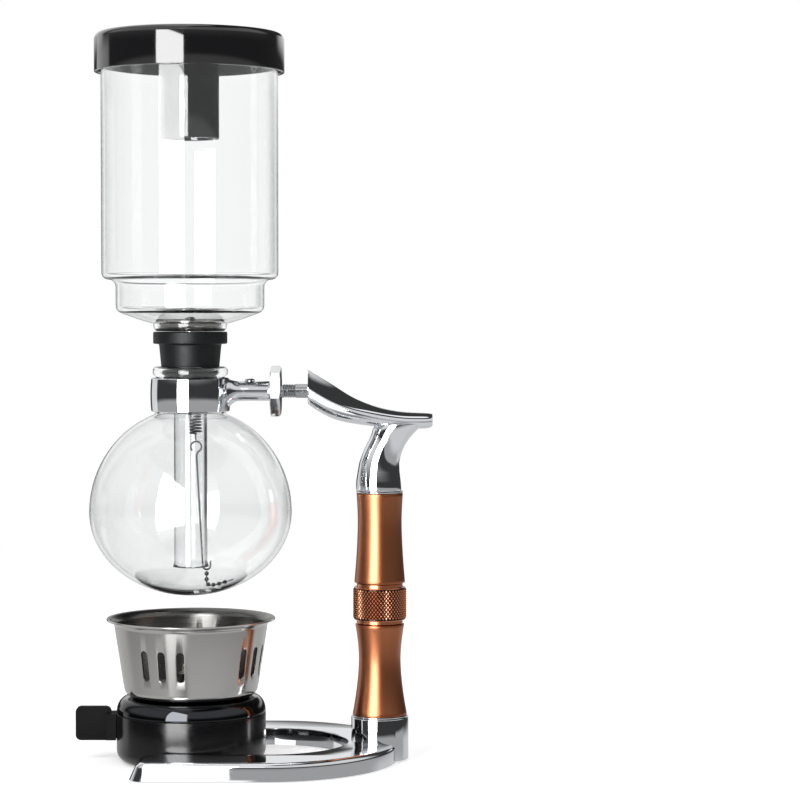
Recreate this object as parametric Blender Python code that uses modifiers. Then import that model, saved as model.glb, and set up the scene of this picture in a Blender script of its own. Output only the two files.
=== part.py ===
"""Siphon coffee maker: a glass globe and an upper chamber held by a chromed stand over a wick burner.

The origin is on the table, on the common axis of the glassware and the burner. +Z is up, +X runs
from that axis to the stand's column, and -Y is the front. All lengths are in metres.
"""

import math

import bmesh
import bpy
from mathutils import Matrix, Vector

# Clearances and cutting
GAP = 0.0003
OVERRUN = 0.002
MERGE = 0.00001

# Burner tank and its shoulder
TANK_RADIUS = 0.0364
TANK_HEIGHT = 0.0236
TANK_WALL = 0.0022
TANK_FLOOR = 0.0025
TANK_CORNER = 0.006
SHOULDER_HEIGHT = 0.0075
SHOULDER_TOP_RADIUS = 0.0312
SHOULDER_WALL = 0.0018
SPIGOT_DEPTH = 0.0022

# Wick, its tube and the holder that guides the tube
WICK_RADIUS = 0.0047
WICK_PROUD = 0.004
WICK_TUBE_WALL = 0.0014
WICK_TUBE_LENGTH = 0.029
WICK_TUBE_TOP = 0.043
WICK_FLOOR_GAP = 0.0015
HOLDER_WALL = 0.0028
HOLDER_FLANGE = 0.0025
HOLDER_FLANGE_HEIGHT = 0.0018
HOLDER_TOP = 0.0385
HOLDER_BOTTOM = 0.0256

# Flame lever
LEVER_PROUD = 0.0200
LEVER_PAD_LENGTH = 0.0172
LEVER_PAD_THICKNESS = 0.0036
LEVER_PAD_HEIGHT = 0.0165
LEVER_PAD_BOTTOM = 0.0098
LEVER_PAD_CORNER = 0.0025
LEVER_ROOT_WIDTH = 0.012
LEVER_ROOT_HEIGHT = 0.0128
LEVER_NECK_WIDTH = 0.004
LEVER_NECK_HEIGHT = 0.0046
LEVER_NECK_BOTTOM = 0.0150
LEVER_RING_WALL = 0.0035
LEVER_SLOT_PLAY = 0.0008
LEVER_SWING_DEGREES = 60.0

# Windscreen
SCREEN_SHEET = 0.0009
SCREEN_CORNER = 0.0046
SCREEN_LOW_RADIUS = 0.0331
SCREEN_LOW_HEIGHT = 0.0070
SCREEN_TOP_RADIUS = 0.0372
SCREEN_FLARE_RADIUS = 0.0411
SCREEN_FLARE_HEIGHT = 0.0040
SCREEN_HEIGHT = 0.0381
SCREEN_HOLE_RADIUS = 0.0150
SLOT_WIDTH = 0.0039
SLOT_HEIGHT = 0.0149
SLOT_BOTTOM = 0.0107
SLOTS_IN_GROUP = 3
SLOT_STEP_DEGREES = 15.2
SLOT_GROUPS_DEGREES = (-98.5, -19.0, 65.0, 163.0)

# Base casting
COLUMN_X = 0.0921
BOSS_RADIUS = 0.0140
BOSS_HEIGHT = 0.0214
BOSS_INSET = 0.0157
BURNER_SIDE_GAP = 0.0016
LEG_WIDTH = 0.0244
LEG_TIP_X = -0.0247
LEG_TIP_RADIUS = 0.008
BASE_HEIGHT = 0.0093
BASE_OUTER_EDGE = 0.0030
BASE_INNER_EDGE = 0.0008
FOOT_PROUD = 0.0006
FOOT_THICKNESS = 0.0016
FOOT_RADIUS = 0.0060
FOOT_TIP_INSET = 0.0130
FOOT_ARC_DEGREES = 50.0

# Column on its tie rod
ROD_RADIUS = 0.0030
ROD_IN_ARM = 0.0130
ROD_BOTTOM = 0.0025
NUT_ACROSS_FLATS = 0.0100
NUT_HEIGHT = 0.0050
NUT_POCKET_RADIUS = 0.0068
SEAT_RING_HEIGHT = 0.0006
LOWER_RING_RADIUS = 0.0136
UPPER_RING_RADIUS = 0.0114
LOWER_GRIP_LENGTH = 0.0442
LOWER_GRIP_FOOT_RADIUS = 0.0133
LOWER_GRIP_WAIST_RADIUS = 0.0102
LOWER_GRIP_TOP_RADIUS = 0.0120
LOWER_WAIST_SHARE = 0.61
KNURL_LENGTH = 0.0197
KNURL_RADIUS = 0.0131
KNURL_NECK_RADIUS = 0.0112
KNURL_NECK_LENGTH = 0.0019
UPPER_GRIP_LENGTH = 0.0436
UPPER_GRIP_FOOT_RADIUS = 0.0124
UPPER_GRIP_WAIST_RADIUS = 0.0107
UPPER_GRIP_TOP_RADIUS = 0.0113
UPPER_WAIST_SHARE = 0.68

# Arm casting
ARM_RISE = 0.0485
ARM_LEFT_X = 0.0572
ARM_LENGTH = 0.0606
ARM_HEIGHT = 0.0287
ARM_WIDTH = 0.0190
ARM_STUD_SHARE = 0.641
STUD_IN_ARM = 0.0060
NECK_RADIUS = 0.0110
NECK_LEAN = 0.0100
NECK_HEIGHT = 0.0325

# Stud, lock nut and collar
STUD_RADIUS = 0.0034
STUD_THREAD_DEPTH = 0.0005
STUD_PITCH = 0.0013
STUD_SHANK = 0.0059
STUD_IN_STEM = 0.0060
LOCK_NUT_ACROSS_FLATS = 0.0220
LOCK_NUT_THICKNESS = 0.0050
LOCK_NUT_EDGE = 0.0005
LOCK_NUT_TURN_DEGREES = 15.0
LOCK_NUT_X = 0.0391
STEM_RADIUS = 0.0048
STEM_ROOT_RADIUS = 0.0077
STEM_TAPER_X = 0.0250
COLLAR_HEIGHT = 0.0163
COLLAR_WALL = 0.0014
COLLAR_DROP = 0.0018
LINER_WALL = 0.0008
LINER_INSET = 0.0010
CLAMP_SCREW_X = 0.0289
CLAMP_SCREW_HEAD_RADIUS = 0.00265
CLAMP_SCREW_HEAD_HEIGHT = 0.0010
CLAMP_SCREW_SHANK_RADIUS = 0.0012
CLAMP_SCREW_DEPTH = 0.0034

# Globe
GLOBE_RADIUS = 0.04915
GLOBE_UPPER_HEIGHT = 0.0507
GLOBE_WALL = 0.0016
GLOBE_NECK_RADIUS = 0.0166
GLOBE_NECK_BELOW_COLLAR = 0.0011
LIP_RADIUS = 0.01825
LIP_HEIGHT = 0.0052
LIP_BORE_RADIUS = 0.0146

# Stopper
STOPPER_FLANGE_RADIUS = 0.0180
STOPPER_FLANGE_HEIGHT = 0.0059
STOPPER_FLANGE_EDGE = 0.0010
STOPPER_EXPOSED = 0.0111
STOPPER_TOP_RADIUS = 0.0152
STOPPER_LIP_PLAY = 0.0005
STOPPER_PLUG_DEPTH = 0.0122
STOPPER_TIP_INSET = 0.0014

# Upper chamber
CHAMBER_RADIUS = 0.04285
CHAMBER_HEIGHT = 0.1410
CHAMBER_WALL = 0.0018
CHAMBER_STEP_RADIUS = 0.0360
CHAMBER_STEP_HEIGHT = 0.0215
CHAMBER_SHOULDER_HEIGHT = 0.0070
CHAMBER_CORNER = 0.0040
CHAMBER_DISH_HEIGHT = 0.0085
CHAMBER_SEAT_RADIUS = 0.0176
CHAMBER_SEAT_HEIGHT = 0.0032
TUBE_RADIUS = 0.0080
TUBE_WALL = 0.0012
TUBE_FLARE = 0.0008
TUBE_FLARE_HEIGHT = 0.0022
TUBE_LENGTH = 0.1149
TUBE_END_CLEARANCE = 0.0122

# Filter
CLOTH_RADIUS = 0.0152
CLOTH_THICKNESS = 0.0026
DISC_RADIUS = 0.0136
DISC_THICKNESS = 0.0008
HUB_HEAD_RADIUS = 0.0030
HUB_HEAD_HEIGHT = 0.0018
HUB_SHANK_RADIUS = 0.0014
HUB_TAIL_RADIUS = 0.0022
HUB_TAIL_LENGTH = 0.0050
SPRING_WIRE_RADIUS = 0.0004
SPRING_RADIUS = 0.0030
SPRING_PITCH = 0.0015
SPRING_CURLS = 18
POINTS_IN_CURL = 8
SPRING_LEG = 0.0180
HOOK_WIRE_RADIUS = 0.00045
HOOK_EYE_RADIUS = 0.0026
HOOK_EYE_MOUTH_DEGREES = 40.0
HOOK_TIP_RISE = 0.0024
BEAD_RADIUS = 0.0011
BEAD_LINK_RADIUS = 0.00035
BEAD_PITCH = 0.0029
BEADS_LYING = 4

# Lid and the socket under it
LID_RADIUS = 0.0460
LID_HEIGHT = 0.0187
LID_THICKNESS = 0.0026
LID_EDGE = 0.0030
LID_SKIRT_PLAY = 0.0005
SOCKET_RADIUS = 0.01425
SOCKET_WALL = 0.0025
SOCKET_DEPTH = 0.0480

# Facets round a turned piece
FINE_STEPS = 30
PLAIN_STEPS = 22
SMALL_STEPS = 14

# Heights and places that follow from the sizes above
SHOULDER_BOTTOM = TANK_HEIGHT + GAP
SHOULDER_TOP = SHOULDER_BOTTOM + SHOULDER_HEIGHT
LEVER_REACH = TANK_RADIUS + LEVER_PROUD
SCREEN_BOTTOM = SHOULDER_TOP + GAP
WICK_TUBE_RADIUS = WICK_RADIUS + GAP + WICK_TUBE_WALL
HOLDER_BORE = WICK_TUBE_RADIUS + GAP
HOLDER_RADIUS = HOLDER_BORE + HOLDER_WALL
LEG_INNER_Y = TANK_RADIUS + BURNER_SIDE_GAP
LEG_OUTER_Y = LEG_INNER_Y + LEG_WIDTH
LOOP_CENTRE_X = COLUMN_X - BOSS_INSET - LEG_INNER_Y
LOWER_RING_Z = BOSS_HEIGHT + GAP
LOWER_GRIP_Z = LOWER_RING_Z + SEAT_RING_HEIGHT + GAP
KNURL_Z = LOWER_GRIP_Z + LOWER_GRIP_LENGTH + GAP
UPPER_GRIP_Z = KNURL_Z + KNURL_LENGTH + GAP
UPPER_RING_Z = UPPER_GRIP_Z + UPPER_GRIP_LENGTH + GAP
ARM_FOOT_Z = UPPER_RING_Z + SEAT_RING_HEIGHT + GAP
STUD_Z = ARM_FOOT_Z + ARM_RISE
COLLAR_BOTTOM = STUD_Z - COLLAR_DROP - COLLAR_HEIGHT / 2
COLLAR_TOP = COLLAR_BOTTOM + COLLAR_HEIGHT
LINER_RADIUS = GLOBE_NECK_RADIUS + GAP + LINER_WALL
COLLAR_BORE = LINER_RADIUS + GAP
COLLAR_RADIUS = COLLAR_BORE + COLLAR_WALL
GLOBE_NECK_Z = COLLAR_BOTTOM - GLOBE_NECK_BELOW_COLLAR
GLOBE_NECK_ANGLE = math.degrees(math.acos(GLOBE_NECK_RADIUS / GLOBE_RADIUS))
GLOBE_CENTRE_Z = GLOBE_NECK_Z - GLOBE_UPPER_HEIGHT * math.sin(math.radians(GLOBE_NECK_ANGLE))
LIP_BOTTOM = COLLAR_TOP + GAP
LIP_TOP = LIP_BOTTOM + LIP_HEIGHT
FLANGE_BOTTOM = LIP_TOP + STOPPER_EXPOSED
FLANGE_TOP = FLANGE_BOTTOM + STOPPER_FLANGE_HEIGHT
CHAMBER_BOTTOM = FLANGE_TOP + GAP
CHAMBER_TOP = CHAMBER_BOTTOM + CHAMBER_HEIGHT
TUBE_BOTTOM = CHAMBER_BOTTOM - TUBE_LENGTH
GLOBE_BOTTOM = TUBE_BOTTOM - TUBE_END_CLEARANCE - GLOBE_WALL
GLOBE_LOWER_HEIGHT = GLOBE_CENTRE_Z - GLOBE_BOTTOM
CLOTH_Z = CHAMBER_BOTTOM + CHAMBER_WALL + GAP
DISC_Z = CLOTH_Z + CLOTH_THICKNESS + GAP
HUB_HEAD_Z = DISC_Z + DISC_THICKNESS + GAP
HUB_BOTTOM = CHAMBER_BOTTOM - HUB_TAIL_LENGTH
LID_UNDERSIDE = CHAMBER_TOP + GAP
LID_TOP = LID_UNDERSIDE + LID_THICKNESS
LID_BOTTOM = LID_TOP - LID_HEIGHT


# Helpers for the scene, the materials and the hierarchy
def clear_scene():
    """Starts from an empty scene."""
    for obj in list(bpy.data.objects):
        bpy.data.objects.remove(obj, do_unlink=True)


def new_collection(name):
    """A collection linked to the scene."""
    made = bpy.data.collections.new(name)
    bpy.context.scene.collection.children.link(made)
    return made


def new_material(name, colour, roughness, metallic=0.0, transmission=0.0):
    """A Principled material. colour is linear red, green and blue."""
    made = bpy.data.materials.new(name)
    made.use_nodes = True
    shader = made.node_tree.nodes["Principled BSDF"]
    shader.inputs["Base Color"].default_value = (*colour, 1.0)
    shader.inputs["Roughness"].default_value = roughness
    shader.inputs["Metallic"].default_value = metallic
    shader.inputs["Transmission Weight"].default_value = transmission
    return made


def new_pivot(name, place, parent=None):
    """An empty on a joint's axis. What is parented to it moves with that joint."""
    pivot = bpy.data.objects.new(name, None)
    pivot.empty_display_size = GLOBE_RADIUS
    pivot.location = Vector(place)
    PARTS.objects.link(pivot)
    if parent:
        attach(pivot, parent)
    return pivot


def attach(obj, parent):
    """Parents obj and keeps it where it stands."""
    bpy.context.view_layer.update()
    obj.parent = parent
    obj.matrix_parent_inverse = parent.matrix_world.inverted()


def new_object(name, mesh, material, parent, cutter=False):
    """An object for a sub-part, or for a cutter that only shapes another one."""
    obj = bpy.data.objects.new(name, mesh)
    if cutter:
        CUTTERS.objects.link(obj)
        obj.hide_render = True
        obj.display_type = "WIRE"
    else:
        PARTS.objects.link(obj)
        mesh.materials.append(material)
    if parent:
        attach(obj, parent)
    return obj


# Helpers for shapes
def arc(centre, radii, start, end, steps):
    """Points (r, z) of an elliptical arc, from start to end degrees, both ends included."""
    angles = [math.radians(start + (end - start) * i / steps) for i in range(steps + 1)]
    return [(centre[0] + radii[0] * math.cos(a), centre[1] + radii[1] * math.sin(a)) for a in angles]


def offset_inward(points, walls):
    """The inner wall of a shell: each point of an outline that runs down its outer side moves inward."""
    moved = []
    for i, (r, z) in enumerate(points):
        before = points[max(i - 1, 0)]
        after = points[min(i + 1, len(points) - 1)]
        first = Vector((r - before[0], z - before[1])) if i else Vector((after[0] - r, after[1] - z))
        second = Vector((after[0] - r, after[1] - z)) if i < len(points) - 1 else first
        first.normalize()
        second.normalize()
        normal = Vector((first.y + second.y, -first.x - second.x)).normalized()
        reach = walls[i] / max(normal.dot(Vector((second.y, -second.x))), 0.5)
        moved.append((max(r + normal.x * reach, 0.0), z + normal.y * reach))
    return moved


def turned(name, outline, material, parent, steps=PLAIN_STEPS, ring=False, place=(0, 0, 0),
           along_x=False, cutter=False):
    """A solid of revolution. outline holds (r, z) points down its outer side; a ring's outline closes."""
    mesh = bpy.data.meshes.new(name)
    count = len(outline)
    edges = [(i, i + 1) for i in range(count - 1)]
    if ring:
        edges.append((count - 1, 0))
    mesh.from_pydata([(r, 0.0, z) for r, z in outline], edges, [])
    obj = new_object(name, mesh, material, None, cutter)
    obj.location = Vector(place)
    if along_x:
        obj.rotation_euler = (0.0, math.pi / 2, 0.0)
    screw = obj.modifiers.new("Turn", "SCREW")
    screw.axis = "Z"
    screw.angle = 2 * math.pi
    screw.steps = steps
    screw.render_steps = steps
    screw.use_merge_vertices = True
    screw.merge_threshold = MERGE
    screw.use_smooth_shade = True
    if parent:
        attach(obj, parent)
    return obj


def cut(obj, cutter, operation="DIFFERENCE"):
    """A Boolean on obj with another object."""
    boolean = obj.modifiers.new(operation.title(), "BOOLEAN")
    boolean.operation = operation
    boolean.object = cutter
    boolean.solver = "EXACT"
    return obj


def rod_cutter(name, radius, low, high, place=(0, 0, 0), along_x=False, steps=SMALL_STEPS):
    """A cylinder that cuts a round hole between two heights along its axis."""
    outline = [(0.0, high), (radius, high), (radius, low), (0.0, low)]
    return turned(name, outline, None, None, steps, place=place, along_x=along_x, cutter=True)


def block(name, low, high, material, parent, corner=0.0, cutter=False):
    """A box between two corners. Its edges along Y are rounded by corner."""
    shape = bmesh.new()
    bmesh.ops.create_cube(shape, size=1.0)
    middle = (Vector(low) + Vector(high)) / 2
    size = Vector(high) - Vector(low)
    bmesh.ops.scale(shape, vec=size, verts=shape.verts)
    bmesh.ops.translate(shape, vec=middle, verts=shape.verts)
    if corner:
        upright = [e for e in shape.edges if abs(e.verts[0].co.y - e.verts[1].co.y) > size.y / 2]
        bmesh.ops.bevel(shape, geom=upright, offset=corner, segments=3, profile=0.5, affect="EDGES")
    mesh = bpy.data.meshes.new(name)
    shape.to_mesh(mesh)
    shape.free()
    return new_object(name, mesh, material, parent, cutter)


def wire(name, points, radius, material, parent, radii=None):
    """A tube along points, as a straight-edged curve with a round bevel and closed ends."""
    curve = bpy.data.curves.new(name, "CURVE")
    curve.dimensions = "3D"
    spline = curve.splines.new("POLY")
    spline.points.add(len(points) - 1)
    for i, point in enumerate(points):
        spline.points[i].co = (*point, 1.0)
        spline.points[i].radius = radii[i] / radius if radii else 1.0
    curve.bevel_depth = radius
    curve.bevel_resolution = 1
    curve.use_fill_caps = True
    obj = bpy.data.objects.new(name, curve)
    PARTS.objects.link(obj)
    curve.materials.append(material)
    if parent:
        attach(obj, parent)
    return obj


def loft(name, sections, material, parent, cutter=False):
    """A solid through closed sections that all have the same number of points."""
    shape = bmesh.new()
    rings = [[shape.verts.new(point) for point in section] for section in sections]
    for lower, upper in zip(rings, rings[1:]):
        for i, vert in enumerate(lower):
            j = (i + 1) % len(lower)
            shape.faces.new((vert, lower[j], upper[j], upper[i]))
    shape.faces.new(reversed(rings[0]))
    shape.faces.new(rings[-1])
    bmesh.ops.recalc_face_normals(shape, faces=shape.faces)
    mesh = bpy.data.meshes.new(name)
    shape.to_mesh(mesh)
    shape.free()
    mesh.shade_smooth()
    return new_object(name, mesh, material, parent, cutter)


# Burner
def make_tank():
    """The moulded fuel tank: a cup with rounded bottom corners and a slot for the lever at the back left."""
    bore = TANK_RADIUS - TANK_WALL
    outline = [(bore, TANK_HEIGHT), (TANK_RADIUS, TANK_HEIGHT)]
    outline += arc((TANK_RADIUS - TANK_CORNER, TANK_CORNER), (TANK_CORNER, TANK_CORNER), 0, -90, 5)
    outline += [(0.0, 0.0)]
    inside = arc((bore - TANK_CORNER / 2, TANK_FLOOR + TANK_CORNER / 2), (TANK_CORNER / 2,) * 2, -90, 0, 2)
    tank = turned("burner_tank", [(0.0, TANK_FLOOR)] + inside + outline, GLOSS_BLACK, BURNER, FINE_STEPS)
    return cut(tank, make_lever_slot())


def make_lever_slot():
    """A wedge of a ring that clears the lever's neck over its whole swing."""
    low = LEVER_NECK_BOTTOM - LEVER_SLOT_PLAY
    high = LEVER_NECK_BOTTOM + LEVER_NECK_HEIGHT + LEVER_SLOT_PLAY
    inner = TANK_RADIUS - TANK_WALL - OVERRUN
    outer = TANK_RADIUS + OVERRUN
    half = math.degrees((LEVER_NECK_WIDTH / 2 + LEVER_SLOT_PLAY) / inner)
    start = 180 + half
    end = 180 - LEVER_SWING_DEGREES - half
    steps = 8
    sections = []
    for i in range(steps + 1):
        angle = math.radians(start + (end - start) * i / steps)
        across = Vector((math.cos(angle), math.sin(angle), 0.0))
        corners = ((inner, low), (outer, low), (outer, high), (inner, high))
        sections.append([across * r + Vector((0.0, 0.0, z)) for r, z in corners])
    return loft("lever_slot_cutter", sections, None, None, cutter=True)


def make_shoulder():
    """The domed top of the burner, which drops into the tank and carries the wick holder."""
    run = TANK_RADIUS - SHOULDER_TOP_RADIUS
    dome = arc((SHOULDER_TOP_RADIUS, SHOULDER_BOTTOM), (run, SHOULDER_HEIGHT), 75, 0, 4)
    bore = HOLDER_RADIUS + GAP
    spigot = TANK_RADIUS - TANK_WALL - GAP
    outline = [(bore, SHOULDER_TOP)] + [(SHOULDER_TOP_RADIUS, SHOULDER_TOP)] + dome
    outline += [(spigot, SHOULDER_BOTTOM), (spigot, SHOULDER_BOTTOM - SPIGOT_DEPTH)]
    outline += [(spigot - SHOULDER_WALL, SHOULDER_BOTTOM - SPIGOT_DEPTH)]
    outline += [(spigot - SHOULDER_WALL, SHOULDER_BOTTOM + SHOULDER_HEIGHT / 3)]
    outline += [(SHOULDER_TOP_RADIUS - SHOULDER_WALL, SHOULDER_TOP - SHOULDER_WALL)]
    outline += [(bore, SHOULDER_TOP - SHOULDER_WALL)]
    return turned("burner_shoulder", outline, DARK_CHROME, BURNER, FINE_STEPS, ring=True)


def make_wick_holder():
    """The flanged bush in the shoulder that the wick tube slides in."""
    flange = HOLDER_RADIUS + HOLDER_FLANGE
    flange_low = SHOULDER_TOP + GAP
    flange_high = flange_low + HOLDER_FLANGE_HEIGHT
    outline = [(HOLDER_BORE, HOLDER_TOP), (HOLDER_RADIUS, HOLDER_TOP), (HOLDER_RADIUS, flange_high)]
    outline += [(flange, flange_high), (flange, flange_low), (HOLDER_RADIUS, flange_low)]
    outline += [(HOLDER_RADIUS, HOLDER_BOTTOM), (HOLDER_BORE, HOLDER_BOTTOM)]
    return turned("wick_holder", outline, STAINLESS, BURNER, PLAIN_STEPS, ring=True)


def make_wick():
    """The wick tube and the cotton wick that it lifts."""
    bore = WICK_RADIUS + GAP
    bottom = WICK_TUBE_TOP - WICK_TUBE_LENGTH
    outline = [(bore, WICK_TUBE_TOP), (WICK_TUBE_RADIUS, WICK_TUBE_TOP)]
    outline += [(WICK_TUBE_RADIUS, bottom), (bore, bottom)]
    turned("wick_tube", outline, STAINLESS, WICK_LIFT, SMALL_STEPS, ring=True)
    top = WICK_TUBE_TOP + WICK_PROUD
    edge = WICK_RADIUS / 4
    low = TANK_FLOOR + WICK_FLOOR_GAP
    body = [(0.0, top), (WICK_RADIUS - edge, top), (WICK_RADIUS, top - edge)]
    body += [(WICK_RADIUS, low), (0.0, low)]
    turned("wick", body, COTTON, WICK_LIFT, SMALL_STEPS)


def make_flame_lever():
    """The side lever: a flat pad, a root close to the tank, and a neck to a ring round the wick tube."""
    ring_bore = WICK_TUBE_RADIUS + GAP
    ring_radius = ring_bore + LEVER_RING_WALL
    low = LEVER_NECK_BOTTOM
    high = low + LEVER_NECK_HEIGHT
    outline = [(ring_bore, high), (ring_radius, high), (ring_radius, low), (ring_bore, low)]
    lever = turned("flame_lever", outline, MATT_BLACK, LEVER_TURN, PLAIN_STEPS, ring=True)
    half = LEVER_NECK_WIDTH / 2
    overlap = LEVER_RING_WALL / 2
    neck_end = -(TANK_RADIUS + GAP + LEVER_ROOT_WIDTH / 4)
    neck = block("lever_neck_form", (neck_end, -half, low), (-ring_bore - overlap, half, high), None, None,
                 cutter=True)
    pad_root = LEVER_REACH - LEVER_PAD_LENGTH
    root_low = LEVER_PAD_BOTTOM + LEVER_PAD_CORNER / 4
    root = block("lever_root_form", (-pad_root - overlap, -LEVER_ROOT_WIDTH / 2, root_low),
                 (-TANK_RADIUS + OVERRUN, LEVER_ROOT_WIDTH / 2, root_low + LEVER_ROOT_HEIGHT), None, None,
                 cutter=True)
    tank_clear = rod_cutter("lever_tank_cutter", TANK_RADIUS + GAP, 0.0, SHOULDER_TOP, steps=FINE_STEPS)
    cut(root, tank_clear)
    pad_half = LEVER_PAD_THICKNESS / 2
    pad_top = LEVER_PAD_BOTTOM + LEVER_PAD_HEIGHT
    pad = block("lever_pad_form", (-LEVER_REACH, -pad_half, LEVER_PAD_BOTTOM),
                (-pad_root, pad_half, pad_top), None, None, LEVER_PAD_CORNER, cutter=True)
    for form in (neck, root, pad):
        cut(lever, form, "UNION")
    return lever


def make_windscreen():
    """The flared steel cup round the flame, with obround slots in groups."""
    low = SCREEN_BOTTOM
    top = low + SCREEN_HEIGHT
    flare_z = top - SCREEN_FLARE_HEIGHT
    outline = [(SCREEN_FLARE_RADIUS, top), (SCREEN_FLARE_RADIUS - SCREEN_SHEET, top - SCREEN_SHEET)]
    outline += [((SCREEN_TOP_RADIUS + SCREEN_FLARE_RADIUS) / 2, top - SCREEN_FLARE_HEIGHT / 3)]
    outline += [(SCREEN_TOP_RADIUS, flare_z), (SCREEN_LOW_RADIUS, low + SCREEN_LOW_HEIGHT)]
    centre = (SCREEN_LOW_RADIUS - SCREEN_CORNER - SCREEN_SHEET, low + SCREEN_CORNER)
    outline += arc(centre, (SCREEN_CORNER,) * 2, -12, -90, 4)
    outline += [(SCREEN_HOLE_RADIUS, low)]
    inner = offset_inward(outline, [SCREEN_SHEET] * len(outline))
    inner[0] = (SCREEN_FLARE_RADIUS - SCREEN_SHEET, top)
    inner[-1] = (SCREEN_HOLE_RADIUS, low + SCREEN_SHEET)
    screen = turned("windscreen", outline + inner[::-1], STAINLESS, SCREEN_LIFT, FINE_STEPS, ring=True)
    shape = bmesh.new()
    for middle in SLOT_GROUPS_DEGREES:
        for place in range(SLOTS_IN_GROUP):
            turn = middle + SLOT_STEP_DEGREES * (place - (SLOTS_IN_GROUP - 1) / 2)
            add_slot(shape, math.radians(turn), low + SLOT_BOTTOM)
    bmesh.ops.recalc_face_normals(shape, faces=shape.faces)
    mesh = bpy.data.meshes.new("slot_cutter")
    shape.to_mesh(mesh)
    shape.free()
    return cut(screen, new_object("slot_cutter", mesh, None, None, cutter=True))


def add_slot(shape, turn, low):
    """Adds one obround prism to the slot cutter. turn is 0 at the front and grows to the right."""
    half = SLOT_WIDTH / 2
    upper = arc((0.0, low + SLOT_HEIGHT - half), (half, half), 0, 180, 4)
    lower = arc((0.0, low + half), (half, half), 180, 360, 4)
    along = Vector((math.sin(turn), -math.cos(turn), 0.0))
    across = Vector((math.cos(turn), math.sin(turn), 0.0))
    near = SCREEN_LOW_RADIUS - SCREEN_CORNER - OVERRUN
    far = SCREEN_TOP_RADIUS + OVERRUN
    rings = []
    for reach in (near, far):
        rings.append([shape.verts.new(along * reach + across * x + Vector((0.0, 0.0, z)))
                      for x, z in upper + lower])
    count = len(rings[0])
    for i in range(count):
        j = (i + 1) % count
        shape.faces.new((rings[0][i], rings[0][j], rings[1][j], rings[1][i]))
    shape.faces.new(rings[0])
    shape.faces.new(rings[1])


# Stand
def base_outline():
    """The horseshoe seen from above, open to the left, as (x, y) points in order."""
    centre = (LOOP_CENTRE_X, 0.0)
    tip = LEG_TIP_X + LEG_TIP_RADIUS
    corner = (LEG_TIP_RADIUS,) * 2
    points = arc(centre, (LEG_OUTER_Y,) * 2, -90, 90, 22)
    points += arc((tip, LEG_OUTER_Y - LEG_TIP_RADIUS), corner, 90, 180, 4)
    points += arc((tip, LEG_INNER_Y + LEG_TIP_RADIUS), corner, 180, 270, 4)
    points += arc(centre, (LEG_INNER_Y,) * 2, 90, -90, 18)
    points += arc((tip, -LEG_INNER_Y - LEG_TIP_RADIUS), corner, 90, 180, 4)
    points += arc((tip, -LEG_OUTER_Y + LEG_TIP_RADIUS), corner, 180, 270, 4)
    return points


def is_inner_wall(edge):
    """Whether an edge of the horseshoe lies on the side that faces the burner."""
    middle = (edge.verts[0].co + edge.verts[1].co) / 2
    if middle.x > LOOP_CENTRE_X:
        reach = math.hypot(middle.x - LOOP_CENTRE_X, middle.y)
    else:
        reach = abs(middle.y)
    on_leg = middle.x > LEG_TIP_X + LEG_TIP_RADIUS / 2
    return on_leg and reach < LEG_INNER_Y + LEG_TIP_RADIUS / 4


def make_base():
    """The chromed horseshoe casting with the boss that carries the column."""
    shape = bmesh.new()
    floor = shape.faces.new([shape.verts.new((x, y, FOOT_PROUD)) for x, y in base_outline()])
    grown = bmesh.ops.extrude_face_region(shape, geom=[floor])
    raised = [v for v in grown["geom"] if isinstance(v, bmesh.types.BMVert)]
    bmesh.ops.translate(shape, vec=(0.0, 0.0, BASE_HEIGHT - FOOT_PROUD), verts=raised)
    bmesh.ops.recalc_face_normals(shape, faces=shape.faces)
    half = (BASE_HEIGHT + FOOT_PROUD) / 2
    top = [e for e in shape.edges if min(v.co.z for v in e.verts) > half]
    outer = [e for e in top if not is_inner_wall(e)]
    bmesh.ops.bevel(shape, geom=outer, offset=BASE_OUTER_EDGE, segments=3, profile=0.5, affect="EDGES")
    top = [e for e in shape.edges if min(v.co.z for v in e.verts) > BASE_HEIGHT - MERGE]
    inner = [e for e in top if is_inner_wall(e) and len(e.link_faces) == 2
             and min(abs(f.normal.z) for f in e.link_faces) < 0.1]
    bmesh.ops.bevel(shape, geom=inner, offset=BASE_INNER_EDGE, segments=1, profile=0.5, affect="EDGES")
    mesh = bpy.data.meshes.new("base_casting")
    shape.to_mesh(mesh)
    shape.free()
    base = new_object("base_casting", mesh, CHROME, STAND)
    for i, (x, y) in enumerate(foot_places()):
        depth = FOOT_THICKNESS + GAP
        cut(base, rod_cutter(f"foot_pocket_cutter_{i + 1}", FOOT_RADIUS + GAP, -OVERRUN, depth, (x, y, 0.0)))
    place = (COLUMN_X, 0.0, 0.0)
    edge = BASE_INNER_EDGE / 2
    outline = [(0.0, BOSS_HEIGHT), (BOSS_RADIUS - edge, BOSS_HEIGHT), (BOSS_RADIUS, BOSS_HEIGHT - edge)]
    underside = FOOT_PROUD + GAP
    outline += [(BOSS_RADIUS, underside), (0.0, underside)]
    boss = turned("boss_form", outline, None, None, PLAIN_STEPS, place=place, cutter=True)
    cut(base, boss, "UNION")
    pocket_top = ROD_BOTTOM + NUT_HEIGHT + GAP
    cut(base, rod_cutter("nut_pocket_cutter", NUT_POCKET_RADIUS, -OVERRUN, pocket_top, place))
    cut(base, rod_cutter("base_rod_cutter", ROD_RADIUS + GAP, 0.0, BOSS_HEIGHT + OVERRUN, place))
    return base


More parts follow.
